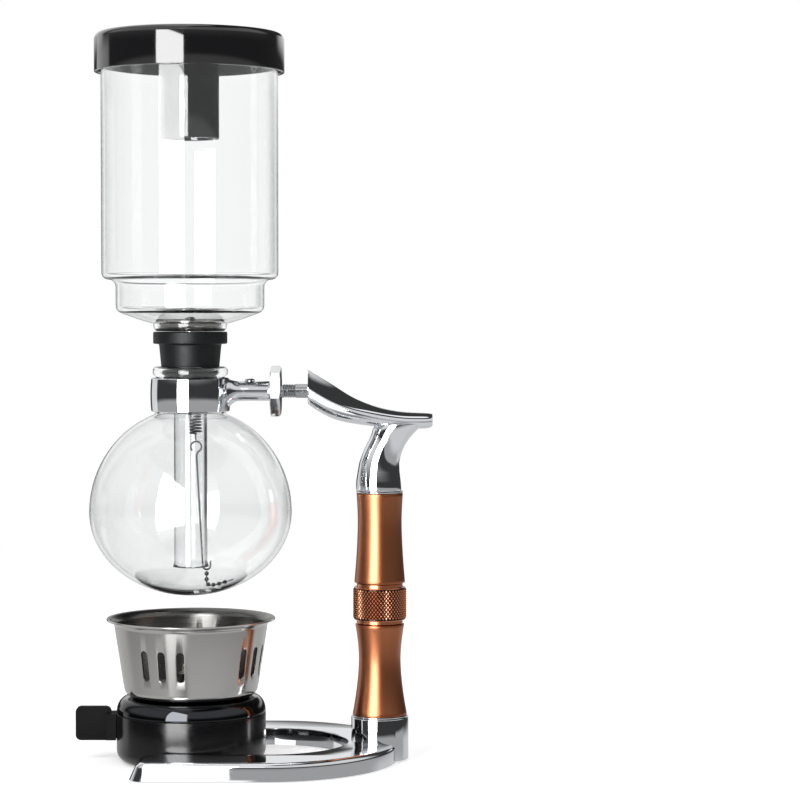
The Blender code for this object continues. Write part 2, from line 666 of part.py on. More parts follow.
def foot_places():
    """The centres of the four foot pads: one near each leg tip and two beside the boss."""
    middle = (LEG_INNER_Y + LEG_OUTER_Y) / 2
    turn = math.radians(FOOT_ARC_DEGREES)
    near_tip = LEG_TIP_X + FOOT_TIP_INSET
    by_boss = LOOP_CENTRE_X + middle * math.cos(turn)
    side = middle * math.sin(turn)
    return [(near_tip, -middle), (near_tip, middle), (by_boss, -side), (by_boss, side)]


def make_feet():
    """Rubber pads set into the underside of the base."""
    for i, (x, y) in enumerate(foot_places()):
        outline = [(0.0, FOOT_THICKNESS), (FOOT_RADIUS, FOOT_THICKNESS), (FOOT_RADIUS, 0.0), (0.0, 0.0)]
        turned(f"foot_pad_{i + 1}", outline, RUBBER, STAND, SMALL_STEPS, place=(x, y, 0.0))


def make_tie_rod():
    """The rod through the column, which screws into the arm, and the nut under the base."""
    place = (COLUMN_X, 0.0, 0.0)
    top = ARM_FOOT_Z + ROD_IN_ARM
    outline = [(0.0, top), (ROD_RADIUS, top), (ROD_RADIUS, ROD_BOTTOM), (0.0, ROD_BOTTOM)]
    turned("tie_rod", outline, STEEL, STAND, SMALL_STEPS, place=place)
    hex_nut("tie_nut", NUT_ACROSS_FLATS, NUT_HEIGHT, ROD_RADIUS + GAP, place, ROD_BOTTOM, False, STEEL, STAND)


def hex_nut(name, across_flats, height, bore, place, low, along_x, material, parent, edge=0.0, turn=0.0):
    """A six-sided nut with a plain bore, standing on its axis at height low along it."""
    shape = bmesh.new()
    corner = across_flats / 2 / math.cos(math.pi / 6)
    bmesh.ops.create_cone(shape, cap_ends=True, segments=6, radius1=corner, radius2=corner, depth=height)
    bmesh.ops.rotate(shape, matrix=Matrix.Rotation(math.radians(turn), 3, "Z"), verts=shape.verts)
    bmesh.ops.translate(shape, vec=(0.0, 0.0, low + height / 2), verts=shape.verts)
    if edge:
        bmesh.ops.bevel(shape, geom=shape.edges, offset=edge, segments=1, profile=0.5, affect="EDGES")
    mesh = bpy.data.meshes.new(name)
    shape.to_mesh(mesh)
    shape.free()
    nut = new_object(name, mesh, material, None)
    nut.location = Vector(place)
    if along_x:
        nut.rotation_euler = (0.0, math.pi / 2, 0.0)
    attach(nut, parent)
    hole = rod_cutter(name + "_bore_cutter", bore, low - OVERRUN, low + height + OVERRUN, place, along_x)
    return cut(nut, hole)


def column_sleeve(name, outline, material):
    """A turned piece of the column, with a bore for the tie rod."""
    bore = ROD_RADIUS + GAP
    closed = [(bore, outline[0][1])] + outline + [(bore, outline[-1][1])]
    return turned(name, closed, material, STAND, PLAIN_STEPS, ring=True, place=(COLUMN_X, 0.0, 0.0))


def waisted(low, high, foot, waist, top, waist_share, steps=6):
    """Points down the side of a grip that narrows to a waist and widens again."""
    length = high - low
    points = []
    for i in range(steps + 1):
        share = 1 - i / steps
        if share > waist_share:
            blend = (share - waist_share) / (1 - waist_share)
            radius = waist + (top - waist) * blend ** 1.6
        else:
            blend = (waist_share - share) / waist_share
            radius = waist + (foot - waist) * blend ** 1.6
        points.append((radius, low + length * share))
    return points


def make_column():
    """Two copper-coloured grips, the knurled ring between them and a bright ring at each end."""
    lower_top = LOWER_GRIP_Z + LOWER_GRIP_LENGTH
    upper_top = UPPER_GRIP_Z + UPPER_GRIP_LENGTH
    knurl_top = KNURL_Z + KNURL_LENGTH
    side = waisted(LOWER_GRIP_Z, lower_top, LOWER_GRIP_FOOT_RADIUS, LOWER_GRIP_WAIST_RADIUS,
                   LOWER_GRIP_TOP_RADIUS, LOWER_WAIST_SHARE)
    column_sleeve("grip_lower", side, COPPER)
    side = waisted(UPPER_GRIP_Z, upper_top, UPPER_GRIP_FOOT_RADIUS, UPPER_GRIP_WAIST_RADIUS,
                   UPPER_GRIP_TOP_RADIUS, UPPER_WAIST_SHARE)
    column_sleeve("grip_upper", side, COPPER)
    neck_low = KNURL_Z + KNURL_NECK_LENGTH
    neck_high = knurl_top - KNURL_NECK_LENGTH
    column_sleeve("grip_knurled_ring", [
        (KNURL_NECK_RADIUS, knurl_top), (KNURL_NECK_RADIUS, neck_high), (KNURL_RADIUS, neck_high),
        (KNURL_RADIUS, neck_low), (KNURL_NECK_RADIUS, neck_low), (KNURL_NECK_RADIUS, KNURL_Z)], COPPER)
    for name, radius, low in (("seat_ring_lower", LOWER_RING_RADIUS, LOWER_RING_Z),
                              ("seat_ring_upper", UPPER_RING_RADIUS, UPPER_RING_Z)):
        column_sleeve(name, [(radius, low + SEAT_RING_HEIGHT), (radius, low)], CHROME)


# Shares of the arm's length, of its height for the top and the underside, and of its width
ARM_STATION_SHARES = (
    (0.00, 1.000, 0.415, 0.80), (0.10, 0.875, 0.275, 0.88), (0.19, 0.762, 0.171, 0.93),
    (0.37, 0.520, 0.084, 1.00), (0.59, 0.345, 0.030, 1.00), (0.75, 0.285, 0.008, 0.92),
    (0.93, 0.270, 0.000, 0.80), (1.00, 0.258, 0.040, 0.68),
)
# Shares of the half width and of the height, round one side of a section from the crest down
ARM_SECTION_SHARES = (
    (0.00, 1.00), (0.34, 0.90), (0.66, 0.70), (0.92, 0.52), (1.00, 0.42), (0.88, 0.24), (0.55, 0.06),
    (0.00, 0.00),
)
# Shares of the neck's height, of its lean and of its radius
NECK_STATION_SHARES = (
    (0.00, -0.04, 1.00), (0.16, -0.06, 0.98), (0.42, -0.02, 0.885), (0.67, 0.27, 0.845),
    (0.83, 0.62, 0.865), (1.00, 0.95, 0.86),
)


def arm_section(x, low, high, half_width):
    """One closed section of the arm, symmetrical about its crest."""
    side = [(y * half_width, low + z * (high - low)) for y, z in ARM_SECTION_SHARES]
    far = [(-y, z) for y, z in side[-2:0:-1]]
    return [(x, y, z) for y, z in side + far]


def make_arm():
    """The horn-shaped arm casting on its leaning neck, with a hole for the stud and one for the tie rod."""
    bottom = STUD_Z - ARM_STUD_SHARE * ARM_HEIGHT
    sections = []
    for along, top, under, wide in ARM_STATION_SHARES:
        x = ARM_LEFT_X + along * ARM_LENGTH
        sections.append(arm_section(x, bottom + under * ARM_HEIGHT, bottom + top * ARM_HEIGHT,
                                    wide * ARM_WIDTH / 2))
    arm = loft("arm_casting", sections, CHROME, STAND)
    rings = []
    for up, lean, size in NECK_STATION_SHARES:
        centre = (COLUMN_X + lean * NECK_LEAN, 0.0)
        ring = arc(centre, (size * NECK_RADIUS,) * 2, 0, 360, 20)[:-1]
        rings.append([(x, y, ARM_FOOT_Z + up * NECK_HEIGHT) for x, y in ring])
    cut(arm, loft("neck_form", rings, None, None, cutter=True), "UNION")
    stud_place = (ARM_LEFT_X, 0.0, STUD_Z)
    cut(arm, rod_cutter("stud_hole_cutter", STUD_RADIUS + GAP, -OVERRUN, STUD_IN_ARM + GAP, stud_place, True))
    rod_place = (COLUMN_X, 0.0, ARM_FOOT_Z)
    cut(arm, rod_cutter("arm_rod_cutter", ROD_RADIUS + GAP, -OVERRUN, ROD_IN_ARM + GAP, rod_place))
    return arm


# Globe clamp and globe
def make_stud():
    """The stud that joins the collar to the arm: threaded under the lock nut, plain at the arm."""
    left = LOCK_NUT_X - GAP - STUD_IN_STEM
    right = ARM_LEFT_X + STUD_IN_ARM
    thread_start = LOCK_NUT_X + LOCK_NUT_THICKNESS + GAP
    thread_end = ARM_LEFT_X - STUD_SHANK
    root = STUD_RADIUS - STUD_THREAD_DEPTH
    ridges = max(int((thread_end - thread_start) / STUD_PITCH), 1)
    pitch = (thread_end - thread_start) / ridges
    outline = [(0.0, right), (STUD_RADIUS, right)]
    for i in range(ridges):
        z = thread_end - pitch * i
        outline += [(STUD_RADIUS, z), (root, z - pitch / 2)]
    outline += [(STUD_RADIUS, thread_start), (root, thread_start - GAP), (root, left), (0.0, left)]
    return turned("threaded_stud", outline, STEEL, CLAMP_TILT, SMALL_STEPS, place=(0.0, 0.0, STUD_Z),
                  along_x=True)


def make_lock_nut():
    """The large hexagonal nut that locks the stud."""
    place = (0.0, 0.0, STUD_Z)
    return hex_nut("lock_nut", LOCK_NUT_ACROSS_FLATS, LOCK_NUT_THICKNESS, STUD_RADIUS + GAP, place,
                   LOCK_NUT_X, True, CHROME, NUT_TURN, LOCK_NUT_EDGE, LOCK_NUT_TURN_DEGREES)


# Shares of the stem's taper, from the collar out
STEM_STATION_SHARES = (0.0, 0.15, 0.35, 0.55, 0.75, 1.0)


def make_stem_form():
    """The stem as a loft: a round bar at the nut that swells to the collar's height at its root."""
    end = LOCK_NUT_X - GAP
    root = COLLAR_BORE - COLLAR_WALL
    rings = []
    for share in STEM_STATION_SHARES:
        x = root + (STEM_TAPER_X - root) * share
        swell = (1 - share) ** 1.6
        radius = STEM_RADIUS + (STEM_ROOT_RADIUS - STEM_RADIUS) * swell
        ring = arc((0.0, STUD_Z - COLLAR_DROP * swell), (radius, radius), 0, 360, 20)[:-1]
        rings.append([(x, y, z) for y, z in ring])
    rings.append([(end, y, z) for x, y, z in rings[-1]])
    return loft("stem_form", rings, None, None, cutter=True)


def make_collar():
    """The chromed collar round the globe's neck, drawn out into a round stem that takes the stud."""
    edge = COLLAR_WALL / 3
    place = (0.0, 0.0, STUD_Z)
    stem = make_stem_form()
    wall_middle = COLLAR_BORE + COLLAR_WALL / 2
    cut(stem, rod_cutter("stem_root_cutter", wall_middle, COLLAR_BOTTOM - OVERRUN, COLLAR_TOP + OVERRUN,
                         steps=FINE_STEPS))
    hole_end = LOCK_NUT_X - GAP - STUD_IN_STEM - GAP
    cut(stem, rod_cutter("stem_hole_cutter", STUD_RADIUS - STUD_THREAD_DEPTH + GAP, hole_end,
                         LOCK_NUT_X + OVERRUN, place, True))
    screw_place = (CLAMP_SCREW_X, 0.0, STUD_Z + STEM_RADIUS)
    cut(stem, rod_cutter("screw_hole_cutter", CLAMP_SCREW_SHANK_RADIUS + GAP, -CLAMP_SCREW_DEPTH - GAP,
                         OVERRUN, screw_place, steps=12))
    outline = [(COLLAR_BORE, COLLAR_TOP), (COLLAR_RADIUS - edge, COLLAR_TOP)]
    outline += [(COLLAR_RADIUS, COLLAR_TOP - edge), (COLLAR_RADIUS, COLLAR_BOTTOM + edge)]
    outline += [(COLLAR_RADIUS - edge, COLLAR_BOTTOM), (COLLAR_BORE, COLLAR_BOTTOM)]
    collar = turned("clamp_collar", outline, CHROME, CLAMP_TILT, FINE_STEPS, ring=True)
    return cut(collar, stem, "UNION")


def make_clamp_screw():
    """The small pan-head screw in the top of the stem."""
    head = CLAMP_SCREW_HEAD_RADIUS
    high = CLAMP_SCREW_HEAD_HEIGHT + GAP
    outline = [(0.0, high), (head / 2, high), (head, high - CLAMP_SCREW_HEAD_HEIGHT / 2), (head, GAP)]
    outline += [(CLAMP_SCREW_SHANK_RADIUS, GAP), (CLAMP_SCREW_SHANK_RADIUS, -CLAMP_SCREW_DEPTH)]
    outline += [(0.0, -CLAMP_SCREW_DEPTH)]
    place = (CLAMP_SCREW_X, 0.0, STUD_Z + STEM_RADIUS)
    return turned("clamp_screw", outline, STEEL, CLAMP_TILT, 12, place=place)


def make_liner():
    """The rubber band between the collar and the glass."""
    bore = GLOBE_NECK_RADIUS + GAP
    high = COLLAR_TOP - LINER_INSET
    low = COLLAR_BOTTOM + LINER_INSET
    outline = [(bore, high), (LINER_RADIUS, high), (LINER_RADIUS, low), (bore, low)]
    return turned("collar_liner", outline, RUBBER, CLAMP_TILT, FINE_STEPS, ring=True)


def make_globe():
    """The blown glass globe, open at its lipped neck."""
    centre = (0.0, GLOBE_CENTRE_Z)
    upper = arc(centre, (GLOBE_RADIUS, GLOBE_UPPER_HEIGHT), GLOBE_NECK_ANGLE, 0, 6)
    lower = arc(centre, (GLOBE_RADIUS, GLOBE_LOWER_HEIGHT), 0, -90, 6)[1:]
    outside = [(GLOBE_NECK_RADIUS, LIP_BOTTOM)] + upper + lower
    outside[-1] = (0.0, GLOBE_BOTTOM)
    inside = offset_inward(outside, [GLOBE_WALL] * len(outside))
    inside[-1] = (0.0, GLOBE_BOTTOM + GLOBE_WALL)
    inside[0] = (GLOBE_NECK_RADIUS - GLOBE_WALL, LIP_BOTTOM)
    lip_middle = ((LIP_RADIUS + LIP_BORE_RADIUS) / 2, (LIP_TOP + LIP_BOTTOM) / 2)
    lip_radii = ((LIP_RADIUS - LIP_BORE_RADIUS) / 2, LIP_HEIGHT / 2)
    lip = arc(lip_middle, lip_radii, 180, -60, 7)
    return turned("globe", inside[::-1] + lip + outside, GLASS, CLAMP_TILT, FINE_STEPS)


# Upper chamber
def make_stopper():
    """The rubber stopper that seals the upper chamber into the globe's neck."""
    bore = TUBE_RADIUS + GAP
    edge = STOPPER_FLANGE_EDGE
    flange = STOPPER_FLANGE_RADIUS
    at_lip = LIP_BORE_RADIUS - STOPPER_LIP_PLAY
    low = LIP_TOP - STOPPER_PLUG_DEPTH
    tip = at_lip - STOPPER_TIP_INSET
    outline = [(bore, FLANGE_TOP), (flange - edge, FLANGE_TOP), (flange, FLANGE_TOP - edge)]
    outline += [(flange, FLANGE_BOTTOM + edge), (flange - edge, FLANGE_BOTTOM)]
    outline += [(STOPPER_TOP_RADIUS, FLANGE_BOTTOM), (at_lip, LIP_TOP), (tip, low + edge)]
    outline += [(tip - edge, low), (bore, low)]
    return turned("stopper", outline, RUBBER, CHAMBER_LIFT, PLAIN_STEPS, ring=True)


def make_chamber():
    """The upper glass: a straight cylinder, a stepped shoulder, a dished floor and a long tube."""
    step_z = CHAMBER_BOTTOM + CHAMBER_STEP_HEIGHT
    shoulder_z = step_z + CHAMBER_SHOULDER_HEIGHT
    run = CHAMBER_RADIUS - CHAMBER_STEP_RADIUS
    half = CHAMBER_SHOULDER_HEIGHT / 2
    body = [(CHAMBER_RADIUS, CHAMBER_TOP), (CHAMBER_RADIUS, shoulder_z)]
    body += arc((CHAMBER_RADIUS - run / 2, shoulder_z), (run / 2, half), 0, -90, 4)[1:]
    body += arc((CHAMBER_STEP_RADIUS + run / 2, step_z), (run / 2, half), 90, 180, 4)[1:]
    corner_z = CHAMBER_BOTTOM + CHAMBER_DISH_HEIGHT + CHAMBER_CORNER
    body += arc((CHAMBER_STEP_RADIUS - CHAMBER_CORNER, corner_z), (CHAMBER_CORNER,) * 2, 0, -70, 3)
    seat_z = CHAMBER_BOTTOM + CHAMBER_SEAT_HEIGHT
    body += arc((CHAMBER_SEAT_RADIUS - CHAMBER_SEAT_HEIGHT / 2, seat_z), (CHAMBER_SEAT_HEIGHT / 2,
                                                                          CHAMBER_SEAT_HEIGHT), 15, -90, 3)
    walls = [CHAMBER_WALL] * len(body)
    flare_z = TUBE_BOTTOM + TUBE_FLARE_HEIGHT
    tube = [(TUBE_RADIUS, CHAMBER_BOTTOM), (TUBE_RADIUS, flare_z), (TUBE_RADIUS + TUBE_FLARE, TUBE_BOTTOM)]
    inner_tube = [(TUBE_RADIUS - TUBE_WALL, TUBE_BOTTOM), (TUBE_RADIUS - TUBE_WALL, flare_z)]
    inner_tube += [(TUBE_RADIUS - TUBE_WALL, CHAMBER_BOTTOM + CHAMBER_WALL)]
    inside = offset_inward(body, walls)
    inside[0] = (CHAMBER_RADIUS - CHAMBER_WALL, CHAMBER_TOP)
    outline = body + tube + inner_tube + inside[::-1]
    return turned("chamber_glass", outline, GLASS, CHAMBER_LIFT, FINE_STEPS, ring=True)


def make_filter():
    """The cloth filter, the perforated disc on it and the hub that holds both together."""
    bore = HUB_SHANK_RADIUS + GAP
    edge = CLOTH_THICKNESS / 3
    high = CLOTH_Z + CLOTH_THICKNESS
    outline = [(bore, high), (CLOTH_RADIUS - edge, high), (CLOTH_RADIUS, high - edge)]
    outline += [(CLOTH_RADIUS, CLOTH_Z + edge), (CLOTH_RADIUS - edge, CLOTH_Z), (bore, CLOTH_Z)]
    turned("filter_cloth", outline, CLOTH, CHAMBER_LIFT, PLAIN_STEPS, ring=True)
    high = DISC_Z + DISC_THICKNESS
    outline = [(bore, high), (DISC_RADIUS, high), (DISC_RADIUS, DISC_Z), (bore, DISC_Z)]
    turned("filter_disc", outline, STAINLESS, CHAMBER_LIFT, PLAIN_STEPS, ring=True)
    head_top = HUB_HEAD_Z + HUB_HEAD_HEIGHT
    tail_top = CLOTH_Z - GAP
    outline = [(0.0, head_top), (HUB_HEAD_RADIUS / 2, head_top), (HUB_HEAD_RADIUS, HUB_HEAD_Z)]
    outline += [(HUB_SHANK_RADIUS, HUB_HEAD_Z), (HUB_SHANK_RADIUS, tail_top), (HUB_TAIL_RADIUS, tail_top)]
    outline += [(HUB_TAIL_RADIUS, HUB_BOTTOM), (0.0, HUB_BOTTOM)]
    turned("filter_hub", outline, STEEL, CHAMBER_LIFT, 12)


def pull_line(z):
    """The leaning line from the hub to the rim of the tube, which the spring and the hook follow."""
    top = HUB_BOTTOM - GAP
    rim = TUBE_RADIUS - TUBE_WALL - HOOK_WIRE_RADIUS - GAP - GAP
    return Vector((rim * (top - z) / (top - TUBE_BOTTOM), 0.0, z))


def eye_top():
    """The height of the top of the hook's eye, just under the spring's end."""
    return HUB_BOTTOM - GAP - SPRING_LEG - SPRING_CURLS * SPRING_PITCH - SPRING_PITCH * 2


def spring_points():
    """A straight leg, the curls and a short straight end, all on the leaning line."""
    top = HUB_BOTTOM - GAP
    coil_top = top - SPRING_LEG
    steps = SPRING_CURLS * POINTS_IN_CURL
    points = [pull_line(top), pull_line(coil_top + SPRING_PITCH)]
    for i in range(steps + 1):
        turn = 2 * math.pi * i / POINTS_IN_CURL
        ends = min(i, steps - i) / POINTS_IN_CURL
        radius = SPRING_RADIUS * min(ends * 2, 1.0)
        middle = pull_line(coil_top - SPRING_PITCH * i / POINTS_IN_CURL)
        points.append(middle + Vector((math.cos(turn), math.sin(turn), 0.0)) * radius)
    coil_bottom = coil_top - SPRING_PITCH * SPRING_CURLS
    points += [pull_line(coil_bottom - SPRING_PITCH), pull_line(eye_top() + GAP)]
    return points


def least_gap(points, radius):
    """The least clear distance between stretches of a wire that aren't neighbours along it."""
    apart = POINTS_IN_CURL // 2
    near = min((a - b).length for i, a in enumerate(points) for b in points[i + apart:])
    return near - 2 * radius


def make_spring():
    """The spring that draws the filter down on its seat."""
    points = spring_points()
    print("filter_spring least gap in mm:", round(least_gap(points[2:-2], SPRING_WIRE_RADIUS) * 1000, 2))
    return wire("filter_spring", points, SPRING_WIRE_RADIUS, STEEL, CHAMBER_LIFT)


def hook_bend():
    """The centre and the radius of the hook's bend under the rim of the tube."""
    inner = pull_line(TUBE_BOTTOM).x
    outer = TUBE_RADIUS + TUBE_FLARE + GAP + HOOK_WIRE_RADIUS
    return Vector(((inner + outer) / 2, 0.0, TUBE_BOTTOM + GAP)), (outer - inner) / 2


def make_hook():
    """The hook wire: an eye under the spring, a straight rod and a hook over the rim of the tube."""
    top = eye_top() - HOOK_WIRE_RADIUS
    centre = pull_line(top - HOOK_EYE_RADIUS)
    mouth = HOOK_EYE_MOUTH_DEGREES
    eye = arc((centre.x, centre.z), (HOOK_EYE_RADIUS,) * 2, -90 - mouth, -90 - 360 + mouth / 2, 14)
    points = [Vector((x, 0.0, z)) for x, z in eye]
    bottom = centre.z - HOOK_EYE_RADIUS * 1.6
    bend, radius = hook_bend()
    points += [pull_line(bottom), pull_line(bend.z + radius)]
    points += [Vector((x, 0.0, z)) for x, z in arc((bend.x, bend.z), (radius, radius), 180, 360, 8)]
    points += [Vector((bend.x + radius, 0.0, bend.z + HOOK_TIP_RISE))]
    return wire("hook_wire", points, HOOK_WIRE_RADIUS, STEEL, HOOK_PULL)


def chain_route():
    """The chain's route: down from the hook, then along the bottom of the globe."""
    bend, radius = hook_bend()
    lift = BEAD_RADIUS + GAP * 2
    inner_radius = GLOBE_RADIUS - GLOBE_WALL
    inner_height = GLOBE_LOWER_HEIGHT - GLOBE_WALL

    def floor(x):
        return GLOBE_CENTRE_Z - inner_height * math.sqrt(1 - (x / inner_radius) ** 2) + lift

    start = bend.z - radius - HOOK_WIRE_RADIUS - GAP
    low = floor(bend.x + BEAD_PITCH / 2) + BEAD_PITCH / 2
    route = [Vector((bend.x, 0.0, start)), Vector((bend.x, 0.0, low))]
    for i in range(BEADS_LYING * 2 + 1):
        x = bend.x + BEAD_PITCH / 2 * (i + 1)
        route.append(Vector((x, 0.0, floor(x))))
    return route


def along_route(route, distance):
    """The point at a distance along a route."""
    for a, b in zip(route, route[1:]):
        length = (b - a).length
        if distance <= length:
            return a.lerp(b, distance / length)
        distance -= length
    return route[-1]


# Shares of a bead's pitch and of its radius, for one bead and the link after it
BEAD_SHARES = ((0.12, 0.0), (0.24, 0.75), (0.44, 1.0), (0.64, 0.75), (0.76, 0.0))


def make_chain():
    """The bead chain on the hook, as one string of beads and links."""
    route = chain_route()
    total = sum((b - a).length for a, b in zip(route, route[1:]))
    beads = int(total / BEAD_PITCH)
    points = [route[0]]
    radii = [BEAD_LINK_RADIUS]
    for i in range(beads):
        for along, size in BEAD_SHARES:
            points.append(along_route(route, BEAD_PITCH * (i + along)))
            radii.append(max(BEAD_RADIUS * size, BEAD_LINK_RADIUS))
    return wire("bead_chain", points, BEAD_RADIUS, STEEL, HOOK_PULL, radii)


# Lid
def make_lid():
    """The gloss black lid and the socket under it, in which the chamber's tube stands when upturned."""
    inner = CHAMBER_RADIUS + LID_SKIRT_PLAY
    outline = [(0.0, LID_TOP), (LID_RADIUS - LID_EDGE, LID_TOP)]
    outline += arc((LID_RADIUS - LID_EDGE, LID_TOP - LID_EDGE), (LID_EDGE,) * 2, 90, 0, 3)[1:]
    outline += [(LID_RADIUS, LID_BOTTOM), (inner, LID_BOTTOM), (inner, LID_UNDERSIDE)]
    outline += [(0.0, LID_UNDERSIDE)]
    turned("lid_cap", outline, GLOSS_BLACK, LID_LIFT, FINE_STEPS)
    high = LID_UNDERSIDE - GAP
    low = high - SOCKET_DEPTH
    bore = SOCKET_RADIUS - SOCKET_WALL
    outline = [(bore, high), (SOCKET_RADIUS, high), (SOCKET_RADIUS, low), (bore, low)]
    turned("lid_socket", outline, GLOSS_BLACK, LID_LIFT, PLAIN_STEPS, ring=True)


clear_scene()
PARTS = new_collection("siphon_coffee_maker")
CUTTERS = new_collection("cutters")

GLASS = new_material("borosilicate_glass", (0.93, 0.95, 0.95), 0.02, transmission=1.0)
CHROME = new_material("chrome_plated_zinc", (0.78, 0.79, 0.80), 0.06, 1.0)
DARK_CHROME = new_material("black_chrome", (0.05, 0.05, 0.052), 0.08, 0.9)
STAINLESS = new_material("brushed_stainless_steel", (0.52, 0.51, 0.49), 0.28, 1.0)
STEEL = new_material("bright_steel", (0.56, 0.57, 0.58), 0.22, 1.0)
COPPER = new_material("copper_anodised_aluminium", (0.42, 0.15, 0.045), 0.24, 1.0)
GLOSS_BLACK = new_material("gloss_black_plastic", (0.010, 0.010, 0.011), 0.10)
MATT_BLACK = new_material("matt_black_plastic", (0.018, 0.018, 0.020), 0.55)
RUBBER = new_material("black_rubber", (0.019, 0.021, 0.023), 0.60)
COTTON = new_material("cotton_wick", (0.78, 0.74, 0.66), 0.95)
CLOTH = new_material("filter_cloth", (0.60, 0.58, 0.54), 0.95)

STAND = new_pivot("stand", (COLUMN_X, 0.0, 0.0))
BURNER = new_pivot("burner_slide", (0.0, 0.0, 0.0))
SCREEN_LIFT = new_pivot("windscreen_lift", (0.0, 0.0, SCREEN_BOTTOM), BURNER)
LEVER_TURN = new_pivot("lever_turn", (0.0, 0.0, LEVER_NECK_BOTTOM), BURNER)
WICK_LIFT = new_pivot("wick_lift", (0.0, 0.0, WICK_TUBE_TOP), BURNER)
CLAMP_TILT = new_pivot("clamp_tilt", (ARM_LEFT_X, 0.0, STUD_Z), STAND)
NUT_TURN = new_pivot("lock_nut_turn", (LOCK_NUT_X, 0.0, STUD_Z), CLAMP_TILT)
CHAMBER_LIFT = new_pivot("chamber_lift", (0.0, 0.0, LIP_TOP), CLAMP_TILT)
HOOK_PULL = new_pivot("hook_pull", pull_line(TUBE_BOTTOM), CHAMBER_LIFT)
LID_LIFT = new_pivot("lid_lift", (0.0, 0.0, CHAMBER_TOP), CHAMBER_LIFT)

make_tank()
make_shoulder()
make_wick_holder()
make_wick()
make_flame_lever()
make_windscreen()
make_base()
make_feet()
make_tie_rod()
make_column()
make_arm()
make_stud()
make_lock_nut()
make_collar()
make_clamp_screw()
make_liner()
make_globe()
make_stopper()
make_chamber()
make_filter()
make_spring()
make_hook()
make_chain()
make_lid()
bpy.context.view_layer.update()
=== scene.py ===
# %% [markdown]
# # A siphon coffee maker, dressed from its imported frame
# A siphon brews with a glass globe over a burner and an upper chamber whose tube dips into the globe.
# The imported model fixes every size and every joint. This file gives each piece its finished shape and
# its material. The frame is loaded first.

# %% Load the imported frame
import math

import bmesh
import bpy
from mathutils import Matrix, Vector


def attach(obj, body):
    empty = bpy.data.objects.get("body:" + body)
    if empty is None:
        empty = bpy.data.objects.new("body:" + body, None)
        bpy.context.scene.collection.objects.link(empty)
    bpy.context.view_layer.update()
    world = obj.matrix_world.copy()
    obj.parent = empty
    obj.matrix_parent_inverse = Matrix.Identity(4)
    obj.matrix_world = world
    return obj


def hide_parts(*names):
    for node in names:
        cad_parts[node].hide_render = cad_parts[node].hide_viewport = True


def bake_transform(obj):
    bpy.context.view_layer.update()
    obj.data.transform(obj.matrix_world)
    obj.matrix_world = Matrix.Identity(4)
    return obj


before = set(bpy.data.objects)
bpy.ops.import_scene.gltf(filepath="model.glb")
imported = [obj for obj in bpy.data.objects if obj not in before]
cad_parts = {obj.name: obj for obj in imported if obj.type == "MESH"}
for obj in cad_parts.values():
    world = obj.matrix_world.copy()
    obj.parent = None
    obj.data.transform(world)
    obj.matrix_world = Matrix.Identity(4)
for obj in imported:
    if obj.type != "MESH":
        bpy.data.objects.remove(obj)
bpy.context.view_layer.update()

print("CAD nodes:", len(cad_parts))

# %% [markdown]
# ## The camera
# A product photograph is taken from far away with a long lens, so that upright things stay upright.
# The camera could be framed by eye, but its height and its tilt can be worked out from the ellipses of
# the glass rims, which open more the further they lie below the lens. That is where these values come from.

# %% Camera at the photograph's angle
MM = 0.001
CAMERA_PLACE = (0.102, -1.221, 0.2197)
CAMERA_TILT_DEGREES = 2.05
CAMERA_LENS_MM = 112.95

bpy.ops.object.select_all(action="DESELECT")
bpy.ops.object.camera_add(location=CAMERA_PLACE,
                          rotation=(math.radians(90 - CAMERA_TILT_DEGREES), 0.0, 0.0))
camera = bpy.context.object
camera.name = "photo_camera"
camera.data.lens = CAMERA_LENS_MM
bpy.context.scene.camera = camera
bpy.context.scene.view_settings.view_transform = "Standard"
print("camera lens in mm:", camera.data.lens)

# %% [markdown]
# ## Nodes and colours
# Shader trees are built by a few lines of code instead of by hand. One small function adds a node, sets
# its options and fills its inputs, whether with a value or with another node's output. Colours are
# written as the hex values that a colour picker shows, and one function turns them to linear light.

# %% Helpers for nodes and colours
def add_node(tree, kind, inputs=None, **settings):
    """Adds a shader node with its settings. Each input gets a value, or a link where it's given a socket."""
    node = tree.nodes.new("ShaderNode" + kind)
    for setting, value in settings.items():
        setattr(node, setting, value)
    for name, value in (inputs or {}).items():
        if isinstance(value, bpy.types.NodeSocket):
            tree.links.new(value, node.inputs[name])
        else:
            node.inputs[name].default_value = value
    return node


def linear(code):
    """Linear red, green, blue and alpha for an sRGB hex code such as C87137."""
    shares = [int(code[i:i + 2], 16) / 255 for i in (0, 2, 4)]
    return [s / 12.92 if s <= 0.04045 else ((s + 0.055) / 1.055) ** 2.4 for s in shares] + [1.0]


def bare_material(name):
    """A material with an empty tree, and that tree."""
    made = bpy.data.materials.new(name)
    made.use_nodes = True
    made.node_tree.nodes.clear()
    return made, made.node_tree


def ease(tree, value, start, end, low=0.0, high=1.0):
    """A smooth step of a socket's value: low before start, high after end."""
    mapped = add_node(tree, "MapRange", {"Value": value, "From Min": start, "From Max": end,
                                                   "To Min": low, "To Max": high},
                      interpolation_type="SMOOTHSTEP")
    return mapped.outputs["Result"]


def combine(tree, operation, first, second):
    """The result of one Math node on two sockets or numbers."""
    return add_node(tree, "Math", {0: first, 1: second}, operation=operation).outputs[0]


def combine_vectors(tree, operation, first, second=(0.0, 0.0, 0.0)):
    """The result of one Vector Math node. It is a number for a length and for a dot product."""
    outputs = add_node(tree, "VectorMath", {0: first, 1: second}, operation=operation).outputs
    return outputs["Value" if operation in ("LENGTH", "DOT_PRODUCT") else "Vector"]


def mix_shaders(tree, share, first, second):
    """One shader out of two, by a socket's share of the second."""
    return add_node(tree, "MixShader", {0: share, 1: first.outputs[0], 2: second.outputs[0]})


print("C87137 is linear", [round(c, 3) for c in linear("C87137")])

